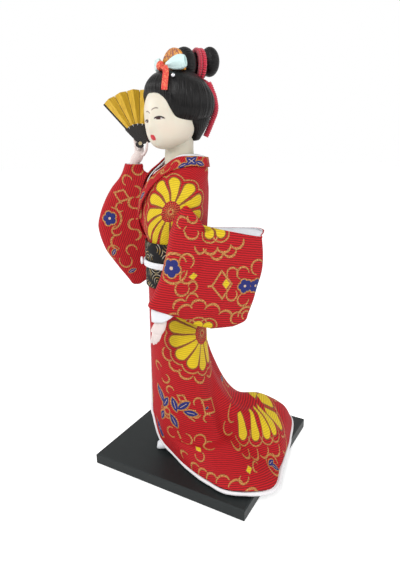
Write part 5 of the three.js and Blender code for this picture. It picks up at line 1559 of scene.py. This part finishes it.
# %% Painted face
def face_paint():
    paint, nodes, shader = principled("painted face", 0.42, Specular_IOR_Level=0.45,
                                      Subsurface_Weight=0.08, Subsurface_Scale=0.004)
    turn = HEAD_TURN + FACE_TURN
    to_head = Matrix.Rotation(-turn, 4, "Z") @ Matrix.Translation((0, -NECK_Y * MM, 0))
    place = nodes.add("ShaderNodeTexCoord").outputs["Object"]
    local = nodes.add("ShaderNodeMapping", {"Vector": place, "Location": to_head.translation,
                                            "Rotation": (0, 0, -turn)}).outputs[0]
    x, y, z = [nodes.times(part, 1000.0) for part in nodes.split(local)]
    front = nodes.below(y, -8.0)
    aside = nodes.absolute(nodes.minus(x, 0.4))
    level = nodes.times_plus(nodes.below(x, 0.4, 0.6), FAR_EYE_DROP, z)

    def oval(cx, cz, wide, high, sideways=aside, up=level):
        return nodes.length(nodes.over(nodes.minus(sideways, cx), wide),
                            nodes.over(nodes.minus(up, cz), high))

    def bent_line(cx, cz, bend, thick, start, end, rise=0.0):
        off = nodes.minus(aside, cx)
        line = nodes.times_plus(nodes.times(off, off), bend, cz)
        line = nodes.times_plus(off, rise, line)
        close = nodes.absolute(nodes.minus(level, line))
        return nodes.both(nodes.below(close, thick, 0.3), nodes.below(start, aside, 0.6),
                          nodes.below(aside, end, 0.9))

    tone = nodes.noise(local, 60.0, 2.0)
    ivory = nodes.mix(tone, colour(206, 198, 180), colour(216, 208, 192))
    # A painted shadow under the chin: the neck below the jaw is mixed towards a darker ivory.
    chin_shadow = nodes.times(nodes.below(z, 238.0, 10.0), 0.55)
    ivory = nodes.mix(chin_shadow, ivory, colour(178, 172, 150))
    cheek = nodes.times(nodes.below(oval(9.5, 247.5, 6.5, 5.5), 0.6, 1.2), 0.16)
    done = nodes.mix(cheek, ivory, colour(232, 186, 168))
    eye = oval(5.3, EYE_Z, 2.7, 0.8)
    white = nodes.below(eye, 1.0, 0.3)
    iris = nodes.both(nodes.below(oval(5.0, EYE_Z, 1.5, 1.3), 1.0, 0.25), nodes.below(eye, 1.08, 0.2))
    lid = bent_line(5.4, EYE_Z + 0.82, -0.09, 0.5, 2.3, 9.0, 0.05)
    low_lid = nodes.times(bent_line(5.6, EYE_Z - 0.72, 0.06, 0.18, 3.2, 8.4, 0.05), 0.6)
    brow = nodes.times(bent_line(4.0, 260.6, -0.11, 0.38, 0.6, 5.4), 0.8)
    notch = nodes.times(nodes.power(2.718, nodes.times(nodes.times(x, x), -2.2)), 0.15)
    lips = nodes.below(nodes.plus(oval(-0.2, LIP_Z, 2.25, 2.0, x, z), notch), 1.0, 0.2)
    for mask, tint in ((white, (214, 206, 200)), (iris, (46, 14, 12)), (lid, (28, 8, 8)),
                       (low_lid, (96, 56, 48)), (brow, (84, 62, 56)), (lips, (186, 20, 36))):
        done = nodes.mix(nodes.both(mask, front), done, colour(*tint))
    nodes.set(shader.inputs["Base Color"], done)
    nodes.set(shader.inputs["Roughness"], nodes.times_plus(tone, 0.1, 0.38))
    return paint


face_finish = face_paint()
skull = laid_grid(128, 110, skull_point, closed=True, outward=on_head(0, 0, 258))
neck = laid_grid(64, 24, neck_point, closed=True, capped=True, outward=on_head(0, 0, 235))
keep("head_moulded", skull, face_finish, "head", ["head"], "face")
keep("neck_moulded", neck, face_finish, "head", (), "face")

# %% [markdown]
# Combed hair reads as hair because of its direction: fine grooves run from the hairline up to
# the tie. The shell is laid so that each column of its grid is one such path, and the grooves
# are then simply stripes across the UV map.

# %% Hair finish
def strands(nodes, given):
    parts = nodes.split(given["Cloth"])
    drawn_out = nodes.times(parts[1], 0.05)
    place = nodes.add("ShaderNodeCombineXYZ", {0: parts[0], 1: drawn_out}).outputs[0]
    fine = nodes.noise(place, 3.2, 3.0, 0.65, "2D")
    coarse = nodes.noise(place, 0.8, 2.0, 0.5, "2D")
    return {"Height": nodes.times_plus(fine, 0.7, coarse),
            # The lighter strands are painted sheen along the comb lines.
            "Shade": nodes.times_plus(fine, 3.0, -1.3, clamp=True)}


hair_strands = group("combed strands", [("Cloth", VECTOR, None)], RELIEF, strands)


def hair_paint():
    paint, nodes, shader = principled("combed hair", 0.36, Specular_IOR_Level=0.16)
    made = nodes.use(hair_strands, Cloth=cloth_uv(nodes))
    nodes.set(shader.inputs["Roughness"], nodes.times_plus(made["Shade"], 0.2, 0.28))
    # The light tone is the painted sheen of the strands on near-black hair.
    return toned(paint, nodes, shader, made, (2, 2, 3), (34, 31, 30), 0.2)


hair_black = hair_paint()
print("strand nodes", len(hair_strands.nodes))

# %% [markdown]
# The shell stands off the skull. Tables give its full width by height, and the hairline's height
# by the angle from the face; the hair starts thin at that line and swells above it.

# %% Hair tables
HAIR = [
    (253, 19.8, -19.8, 18.6), (256.5, 22.6, -22.4, 20.8), (262, 24, -23.8, 22.6),
    (268, 23.6, -23, 22.2), (273, 21.8, -21.8, 19.4), (277.4, 19.2, -19.8, 15.6),
    (281.4, 14.3, -16.2, 10.7), (284.2, 7.6, -9.5, 4.8), (285.2, 0.4, -2.4, -1.6),
]
NAPE = [
    (240.2, 4, 6, 11.5), (240.6, 7.6, 4, 13), (243, 10.8, 1, 14.6), (248, 15.9, -3, 16.2),
    (253.4, 19.2, -9, 19), (262, 19.5, -6, 20.6),
]
HAIR_TOP = 285.2
HAIRLINE = [
    (0, 269.8), (12, 269.7), (24, 268.7), (38, 265.1), (46, 260.4), (54, 256), (61, 254.6),
    (75, 253.6), (100, 253.2), (180, 253.2),
]
HAIRLINE_SIDE = [(254.6, 61), (256, 54), (260.4, 46), (265.1, 38), (268.7, 24), (269.8, 0)]
HAIRLINE_Y, TAPER, EDGE_SHARE = -2, 7.5, 0.26


def polar_radius(rows, turn, z, grow=0.0):
    """How far a ring of a table is from the head's middle in one direction."""
    half, front, rear = read_table(rows, z)
    half, depth = half + grow, (rear - front) / 2 + grow
    off = HAIRLINE_Y - (front + rear) / 2
    k = (sin(turn) / half) ** 2 + (cos(turn) / depth) ** 2
    q = cos(turn) * off / depth ** 2
    return (q + sqrt(max(q * q - k * ((off / depth) ** 2 - 1), 0))) / k


def hair_share(angle, z, low):
    """How full the hair is: it rises slowly from the hairline of the face, fast elsewhere."""
    above = z - low
    aside = (angle - read_table(HAIRLINE_SIDE, z)[0]) * 0.35 if z < 269.8 else above
    rise = 1 - (1 - min(max(min(above, aside), 0) / TAPER, 1)) ** 2
    rise = lerp(rise, 1, smooth(angle, 72, 100))
    under = sqrt(max(1 - (1 - min(above / 3.0, 1)) ** 2, 0))
    under = lerp(1, lerp(0.5, 1, under), smooth(angle, 50, 75))
    return (EDGE_SHARE + (1 - EDGE_SHARE) * rise) * under

# %% [markdown]
# The shell runs from the crown to the hairline and turns in to the skull there. Fine waves along
# it are the comb's grooves, and its UV map gives the strands their direction.

# %% Hair shell
def hair_point(u, v):
    angle = 360 * min(u, 1 - u)
    turn = 2 * pi * u
    low = read_table(HAIRLINE, angle)[0]
    z = lerp(HAIR_TOP, low, min(v / 0.94, 1) ** 0.85)
    inner = polar_radius(SKULL, turn, min(z, 279), -0.3)
    full = polar_radius(HAIR, turn, z)
    share = lerp(hair_share(angle, z, low), 1, smooth(z, 270, 280))
    if v > 0.94:
        share *= 1 - (v - 0.94) / 0.06
    groove = 0.14 * sin(u * 2 * pi * 84) + 0.1 * sin(u * 2 * pi * 53 + 1) + 0.12 * sin(u * 2 * pi * 31)
    full += groove * smooth(v, 0.12, 0.4) * min(share * 2, 1)
    r = lerp(inner, full, share) if z < 279 else full
    return on_head(r * sin(turn), HAIRLINE_Y - r * cos(turn), z)


shell = laid_grid(320, 80, hair_point, closed=True, outward=on_head(0, 0, 262))
uv_layer = shell.loops.layers.uv["cloth"]
to_head_turn = Matrix.Rotation(-HEAD_TURN, 3, "Z")
for f in shell.faces:
    for loop in f.loops:
        local = to_head_turn @ (loop.vert.co / MM - Vector((0, NECK_Y, 0)))
        loop[uv_layer].uv.x = atan2(local.x, -local.y + HAIRLINE_Y + 0.01) * 22
keep("hair_cap_combed", shell, hair_black, "head", ["hair_cap"], "hair")

# %% [markdown]
# Behind, the hair goes down the nape in a second, narrower form that closes the shell below.

# %% Nape
def nape_point(u, v):
    z = lerp(NAPE[-1][0], NAPE[0][0], v)
    x, y = ring_at(NAPE, u, z)
    return on_head(x * (1 + 0.01 * sin(u * 2 * pi * 46)), y, z)


nape = laid_grid(160, 40, nape_point, closed=True, capped=True, outward=on_head(0, 12, 250))
keep("hair_nape_combed", nape, hair_black, "head", (), "hair")

# %% [markdown]
# The topknot is one roll of hair that the cord draws in: a lobe before it and a bun behind it.

# %% Topknot
CORD_LOOP_WIDE, CORD_LOOP_HIGH, CORD_LOOP_Y, CORD_RADIUS = 6, 9.2, 14, 1.35
CREPE_RADIUS, CREPE_TAIL_RADIUS, CREPE_PITCH = 1.66, 1.95, 1.5
LOBE_AT, LOBE = (4.4, 287.6), (9.1, 7.6, 10.4)
BUN_AT, BUN = (24.9, 290.4), (7.4, 6.2, 9.2)


NECK_WIDE, NECK_HIGH = CORD_LOOP_WIDE - CORD_RADIUS - GAP, CORD_LOOP_HIGH - CORD_RADIUS - GAP


def lobe_rows(front, rear, mid, sizes, waist):
    """Widths and heights of a lobe along its length, drawn in to the cord at one end."""
    rows = []
    wide, deep, high = sizes
    for k in range(25):
        y = lerp(front, rear, k / 24)
        t = (y - mid) / deep
        round_off = sqrt(max(1 - t * t, 0))
        rows.append((y, max(wide * round_off, NECK_WIDE * waist(y)),
                     max(high * round_off, NECK_HIGH * waist(y))))
    return rows


def topknot_piece(word, front, rear, at, sizes, waist):
    mid, z = at
    rows = lobe_rows(front, rear, mid, sizes, waist)

    def place(u, v):
        y = lerp(front, rear, v)
        wide, high = read_table(rows, y)
        a = 2 * pi * u
        groove = 1 + 0.012 * sin(u * 2 * pi * 34)
        return on_head(wide * groove * sin(a), y, z + high * groove * cos(a))
    lobe = laid_grid(140, 60, place, closed=True, capped=True, outward=on_head(0, mid, z))
    keep(f"topknot_{word}_combed", lobe, hair_black, "head", [f"topknot_{word}"], "hair")


topknot_piece("front", LOBE_AT[0] - LOBE[1], 20, LOBE_AT, LOBE, lambda y: smooth(y, 8, 11))
topknot_piece("rear", 19.7, BUN_AT[0] + BUN[1], BUN_AT, BUN, lambda y: 0.9 * smooth(y, 22, 20))

# %% [markdown]
# A crimson crepe cord ties the topknot with two turns, and its end hangs behind the hair. Crepe
# cord is a tube of twisted thread, so its ribs run round it in a steep helix.

# %% Crepe
def crepe(nodes, given):
    parts = nodes.split(given["Cloth"])
    phase = nodes.plus(nodes.times(parts[1], 2 * pi / CREPE_PITCH),
                       nodes.times(parts[0], 2 * pi / 4.2))
    rib = nodes.times_plus(nodes.sine(phase), 0.5, 0.5)
    fuzz = nodes.noise(given["Cloth"], 3.0, 2.0, 0.7, "2D")
    # The colour follows the ribs: the rib tops are painted light and the grooves painted shade, with
    # random fuzz.
    return {"Height": nodes.times_plus(fuzz, 0.3, rib),
            "Shade": nodes.times_plus(rib, 0.6, nodes.times(fuzz, 0.5), clamp=True)}


crepe_ribs = group("crepe ribs", [("Cloth", VECTOR, None)], RELIEF, crepe)


def crepe_paint():
    paint, nodes, shader = principled("crimson crepe", 0.7, Sheen_Weight=0.3)
    made = nodes.use(crepe_ribs, Cloth=cloth_uv(nodes))
    # Dark and light crimson are the painted shade and light of the ribs.
    return toned(paint, nodes, shader, made, (126, 2, 28), (238, 30, 70), 0.45)


cord_red = crepe_paint()
print("crepe nodes", len(crepe_ribs.nodes))

# %% [markdown]
# The turns are points on an oval round the waist of the topknot. The hanging end is a table of
# angle, distance and height round the head, and its path is also sampled as a list of points.

# %% Two turns and the hanging end
CORD_TURNS, CORD_SPACING, CORD_STEPS = 2, 0.6, 24
winding = []
for k in range(CORD_TURNS * CORD_STEPS + 1):
    a = 2 * pi * k / CORD_STEPS - pi / 2
    y = CORD_LOOP_Y + (k / CORD_STEPS - 0.5) * (2 * CORD_RADIUS + CORD_SPACING)
    winding.append(on_head(CORD_LOOP_WIDE * cos(a), y, LOBE_AT[1] + CORD_LOOP_HIGH * sin(a)))
winding += [on_head(2.4, 19.7, 277.4), on_head(4.2, 20.7, 276)]
TAIL = [(168.2, 21.2, 277), (166.5, 22.3, 275), (164.5, 23, 272.6), (161, 24, 269.2), (157.5, 24.5, 265.4),
        (154, 24.7, 261.4), (151, 23.8, 257.4), (149, 22.1, 253.4), (147.6, 20.5, 249.6),
        (146.6, 18.9, 246), (146, 17.6, 243.2)]
tail_points = [on_head(r * sin(radians(a)), -r * cos(radians(a)), z) for a, r, z in TAIL]


def ribbed(radius, length):
    return lambda u, v: radius * (0.93 + 0.07 * sin(2 * pi * (length * v / CREPE_PITCH + 2 * u)))


for name, points, node, steps, thick in (
        ("hair_cord_wound", winding, "hair_cord", 400, CREPE_RADIUS),
        ("hair_cord_end", tail_points, "hair_cord_tail", 200, CREPE_TAIL_RADIUS)):
    line, length = along_points(points)
    tube = laid_grid(14, steps, rope_point(line, ribbed(thick, length)), closed=True, column=0,
                     capped=True)
    keep(name, tube, cord_red, "head", [node], "cord")
    print(name, "mm", round(length, 1))
tail_line, tail_length = along_points(tail_points)
tail_path = [tail_line(k / 24) * MM for k in range(25)]
tuple(tail_path[0])
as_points(tail_path)

# %% [markdown]
# Ornaments in front of the topknot: a half-round comb, a bow of pale ribbon tied with coral
# brocade, its hanging end, and a small silver pin.

# %% Finishes of the ornaments
COMB_Y, COMB_Z, COMB_RADIUS, COMB_HIGH, COMB_THICK = -3, 284.4, 13.3, 12.4, 1.6
BOW_Y, BOW_Z, LOOP_X, LOOP_Y, LOOP_Z = -13.4, 285.6, 10.2, -8.6, 286.8


def specks(nodes, given):
    """Small blots of a second thread colour on brocade or lacquer."""
    cell = nodes.noise(given["Place"], given["Scale"], 3.0, 0.75)
    spot = nodes.times_plus(cell, 9.0, -4.2, clamp=True)
    edge = nodes.noise(given["Place"], nodes.times(given["Scale"], 2.3), 2.0, 0.6)
    return {"Shade": spot, "Height": nodes.times_plus(edge, 0.4, spot)}


speckle = group("thread specks", [("Place", VECTOR, None), ("Scale", FLOAT, 500.0)], RELIEF, specks)


def speckled(name, ground, spot, scale, rough, **sockets):
    paint, nodes, shader = principled(name, rough, **sockets)
    place = nodes.add("ShaderNodeTexCoord").outputs["Object"]
    made = nodes.use(speckle, Place=place, Scale=scale)
    return toned(paint, nodes, shader, made, ground, spot, 0.08)


comb_gold = speckled("comb brocade", (216, 142, 18), (120, 30, 12), 560.0, 0.42)
coral = speckled("coral brocade", (206, 38, 40), (232, 128, 86), 1100.0, 0.6)
# The ribbon's dark teal is painted shade for its folds, laid in blotches by the plain weave.
aqua = cotton("aqua ribbon", (206, 228, 226), (112, 172, 176), 0.42, 0.03, 14.0)
print("finishes", comb_gold.name, coral.name, aqua.name)

# %% [markdown]
# The comb is cut as a shop would: a half-round plate, extruded and then bevelled.

# %% Comb
comb = bmesh.new()
rim = bmesh.ops.create_circle(comb, cap_ends=True, segments=64, radius=1)["verts"]
for vertex in rim:
    x, z = vertex.co.x, max(vertex.co.y, -0.12)
    vertex.co = on_head(x * COMB_RADIUS, COMB_Y, COMB_Z + z * COMB_HIGH) * MM
plate = bmesh.ops.extrude_face_region(comb, geom=list(comb.faces))
moved = [v for v in plate["geom"] if isinstance(v, bmesh.types.BMVert)]
bmesh.ops.translate(comb, verts=moved, vec=(on_head(0, -COMB_THICK, 0) - on_head(0, 0, 0)) * MM)
bmesh.ops.recalc_face_normals(comb, faces=comb.faces)
edges = [e for e in comb.edges if len(e.link_faces) == 2 and e.calc_face_angle() > 1]
bmesh.ops.bevel(comb, geom=edges, offset=0.35 * MM, segments=3, profile=0.5, affect="EDGES", material=-1)
keep("comb_plate", comb, comb_gold, "head", ["comb"], "comb_lacquer")

# %% [markdown]
# A bow loop is a puffed tube, narrow at the knot and open outside, with soft folds along it.

# %% Bow
def loop_point(side):
    """A puffed ribbon loop: narrow at the knot, full and open at its outer end."""
    middle = Vector((side * LOOP_X, LOOP_Y, LOOP_Z))
    along = Vector((side * cos(radians(34)) * 0.97, sin(radians(34)) * 0.97, 0.16)).normalized()
    high = Vector((0, 0, 1)) - along * along.z
    high.normalize()
    deep = along.cross(high)

    def place(u, v):
        a = 2 * pi * u
        reach, swell = read_table(LOOP_SHAPE, v)
        fold = 1 + 0.13 * sin(5 * a + 1) * smooth(v, 0.95, 0.2) + 0.04 * sin(11 * a) * (1 - v)
        p = middle + along * reach + high * (4.3 * swell * sin(a) * fold) + deep * (
            3.0 * swell * cos(a) * fold)
        return on_head(p.x, p.y, p.z)
    return place


LOOP_SHAPE = [(0, -7.2, 0.1), (0.08, -6.6, 0.3), (0.25, -4.6, 0.5), (0.45, -1.4, 0.82), (0.62, 2.2, 1),
              (0.76, 5, 0.94), (0.86, 6.6, 0.72), (0.93, 5.9, 0.55), (1, 2, 0.1)]
for side, word in ((1, "left"), (-1, "right")):
    ribbon = laid_grid(60, 40, loop_point(side), closed=True, capped=True)
    keep(f"bow_{word}_ribbon", ribbon, aqua, "head", [f"bow_{word}"], "aqua_ribbon")


def knot_bead(u, v):
    a, b = 2 * pi * u, pi * v
    fold = 1 + 0.06 * sin(3 * a)
    return on_head(3.1 * sin(b) * cos(a) * fold, BOW_Y + 2.5 * sin(b) * sin(a),
                   BOW_Z + 2.9 * cos(b) * fold)


bead = laid_grid(40, 20, knot_bead, closed=True, outward=on_head(0, BOW_Y, BOW_Z))
keep("bow_knot_cloth", bead, coral, "head", ["bow_knot"], "coral_ribbon")

# %% [markdown]
# The ribbon's end follows four places in front of the hair; the pin is a plain silver bead.

# %% Hanging ribbon and pin
RIBBON = [(3.4, -13.8, 285), (8.6, -15, 282.8), (12.6, -17.8, 278), (13.9, -19.6, 270.4)]
ribbon_line, _ = along_points([on_head(*p) for p in RIBBON])


def ribbon_point(u, v):
    along = (ribbon_line(min(v + 0.02, 1)) - ribbon_line(max(v - 0.02, 0))).normalized()
    face = (on_head(0.62, -0.6, 0.5) - on_head(0, 0, 0)).normalized()
    side = along.cross(face).normalized()
    return ribbon_line(v) + side * (u - 0.5) * 3.8 + face * (0.7 + 0.25 * sin(9 * v))


strip = laid_grid(8, 24, ribbon_point, outward=on_head(0, 0, 270))
keep("bow_tail_ribbon", strip, coral, "head", ["bow_tail"], "coral_ribbon", wall=0.5)

PIN_AT = on_head(14.6, -13.6, 279.2)
pin = bmesh.new()
bmesh.ops.create_uvsphere(pin, u_segments=24, v_segments=16, radius=1.3 * MM,
                          matrix=Matrix.Translation(PIN_AT * MM))
keep("hair_pin_bead", pin, silver, "head", ["hair_pin"], "pin_silver")

# %% [markdown]
# The fan's leaf is one gold sheet folded once between every two sticks. Each fold is its own
# piece here. Fine streaks along the folds give the beaten gold.

# %% Gold leaf
def leaf_paint():
    paint, nodes, shader = principled("gold leaf", 0.45, Metallic=0.2)
    parts = nodes.split(cloth_uv(nodes))
    along = nodes.add("ShaderNodeCombineXYZ", {0: nodes.times(parts[0], 1.4),
                                               1: nodes.times(parts[1], 0.12)}).outputs[0]
    streak = nodes.noise(along, 1.0, 3.0, 0.6, "2D")
    beaten = {"Shade": streak, "Height": streak}
    return toned(paint, nodes, shader, beaten, (160, 112, 8), (236, 198, 56), 0.1)


gold_leaf = leaf_paint()
print("finish", gold_leaf.name)

# %% [markdown]
# Each fold is laid between the two sticks' angles and heights in the stack, with its crest in the
# middle.

# %% Fan leaf
def stick_angle(i):
    return FAN_FIRST + i * FAN_STEP


def stick_lift(i):
    return (i - (FAN_STICKS - 1) / 2) * STICK_PITCH


def leaf_point(i):
    def place(u, v):
        radius = lerp(FAN_RADIUS + 0.5 * (1 - abs(2 * u - 1)), LEAF_INNER, v)
        apart = 0.16 / radius * 180 / pi
        angle = lerp(stick_angle(i) + apart, stick_angle(i + 1) - apart, u)
        fold = (1 - abs(2 * u - 1)) + 0.05 * sin(2 * pi * u)
        lift = lerp(stick_lift(i), stick_lift(i + 1), u) + STICK_THICK / 2 + 0.12 + LEAF_THICK
        return on_fan(angle, radius, lift + PLEAT_SHARE * radius * fold)
    return place


for i in range(FAN_STICKS - 1):
    paper = laid_grid(12, 24, leaf_point(i), outward=on_fan(16, 25, -60), column=0.5)
    fold = keep(f"fan_leaf_{i + 1}_paper", paper, gold_leaf, None, [f"fan_leaf_{i + 1}"],
                "gold_paper", wall=LEAF_THICK, smooth_faces=False)
    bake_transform(fold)

# %% [markdown]
# Plain studio light: a white world that the camera sees as paper white, a soft lamp high on the
# camera's side, a weaker one behind for the hair's edge, and one before the face.

# %% Light
def seen_rays(nodes):
    """1 for rays that show a thing itself, straight, in a reflection or through glass."""
    path = nodes.add("ShaderNodeLightPath").outputs
    return nodes.either(path["Is Camera Ray"], path["Is Glossy Ray"], path["Is Transmission Ray"])


world = bpy.data.worlds.new("studio")
world.use_nodes = True
bpy.context.scene.world = world
nodes = Nodes(world.node_tree)
sky = world.node_tree.nodes["Background"]
nodes.set(sky.inputs["Strength"], nodes.times_plus(seen_rays(nodes), 0.45, 0.55))
sky.inputs["Color"].default_value = (1, 1, 1, 1)


def lamp(name, place, aim, size, power):
    data = bpy.data.lights.new(name, "AREA")
    data.shape, data.size, data.energy = "DISK", size, power
    made = bpy.data.objects.new(name, data)
    turn = (Vector(place) - Vector(aim)).to_track_quat("Z", "Y").to_matrix().to_4x4()
    made.matrix_world = Matrix.Translation(place) @ turn
    bpy.context.scene.collection.objects.link(made)


lamp("key", (0.75, -0.55, 0.95), (0, 0, 0.17), 0.4, 8)
lamp("fill", (0.6, 0.7, 0.5), (0, 0, 0.15), 0.6, 2.6)
lamp("front", (-0.35, -0.9, 0.5), (0, 0, 0.18), 0.5, 3)
print("lamps", len(bpy.data.lights))

# %% [markdown]
# The floor is a wide plain sheet. What the camera sees of it is lifted with a little glow of its
# own to the same white as the world, so that only the doll's shadow shows.

# %% Floor
def floor_paint():
    paint, nodes, shader = principled("paper floor", 0.9)
    shader.inputs["Base Color"].default_value = (0.97, 0.97, 0.97, 1)
    glow = nodes.add("ShaderNodeEmission", {"Color": (1, 1, 1, 1), "Strength": 0.43})
    both = nodes.add("ShaderNodeAddShader", {0: shader.outputs[0], 1: glow.outputs[0]})
    shown = nodes.add("ShaderNodeMixShader", {0: seen_rays(nodes), 1: shader.outputs[0],
                                              2: both.outputs[0]})
    nodes.set(paint.node_tree.nodes["Material Output"].inputs["Surface"], shown.outputs[0])
    return paint


floor = bmesh.new()
bmesh.ops.create_grid(floor, x_segments=1, y_segments=1, size=3)
keep("floor", floor, floor_paint(), None, smooth_faces=False)
bpy.context.scene.view_settings.view_transform = "Standard"

# %% [markdown]
# Every cloth and ribbon is listed with its flat width and length in metres, the area that is
# cut from it, how it is held and what it rests on. Its measured area is printed beside the cut,
# and should be close to it.

# %% Flat sizes of the cloth
SHEETS = [
    ("kimono_skirt_cloth", 0.33, 0.18, 0.028, "hung", ["torso_form", "stand_board"]),
    ("skirt_lining_cloth", 0.33, 0.18, 0.027, "hung", ["torso_form", "stand_board"]),
    ("kimono_bodice_cloth", 0.14, 0.075, None, "stretched", ["torso_form"]),
    ("left_sleeve_cloth", 0.13, 0.085, 0.0098, "hung", ["left_arm"]),
    ("left_sleeve_lining_cloth", 0.13, 0.085, 0.0092, "hung", ["left_arm"]),
    ("right_sleeve_cloth", 0.125, 0.09, 0.0096, "hung", ["right_arm"]),
    ("right_sleeve_lining_cloth", 0.125, 0.09, 0.0089, "hung", ["right_arm"]),
    ("left_cuff_cloth", 0.034, 0.0125, None, "hung", ["left_arm"]),
    ("obi_cloth", 0.137, 0.032, None, "stretched", ["kimono_bodice_cloth"]),
    ("kimono_collar_left_cloth", 0.085, 0.01, None, "folded", ["kimono_bodice_cloth"]),
    ("kimono_collar_right_cloth", 0.065, 0.01, None, "folded", ["kimono_bodice_cloth"]),
    ("under_collar_left_cloth", 0.085, 0.01, 0.0003, "folded", ["torso_form"]),
    ("under_collar_right_cloth", 0.085, 0.01, 0.0003, "folded", ["torso_form"]),
    ("bow_left_ribbon", 0.016, 0.0125, None, "folded", ["hair_cap_combed"]),
    ("bow_right_ribbon", 0.016, 0.0125, None, "folded", ["hair_cap_combed"]),
    ("bow_tail_ribbon", 0.022, 0.01, 0.00008, "draped", ["hair_cap_combed"]),
]
for name, width, length, area, held, rests_on in SHEETS:
    measured = sum(polygon.area for polygon in pieces[name].data.polygons)
    cut = round((area or width * length) * 1e6)
    print(name, "measured, square mm", round(measured * 1e6), "cut", cut)
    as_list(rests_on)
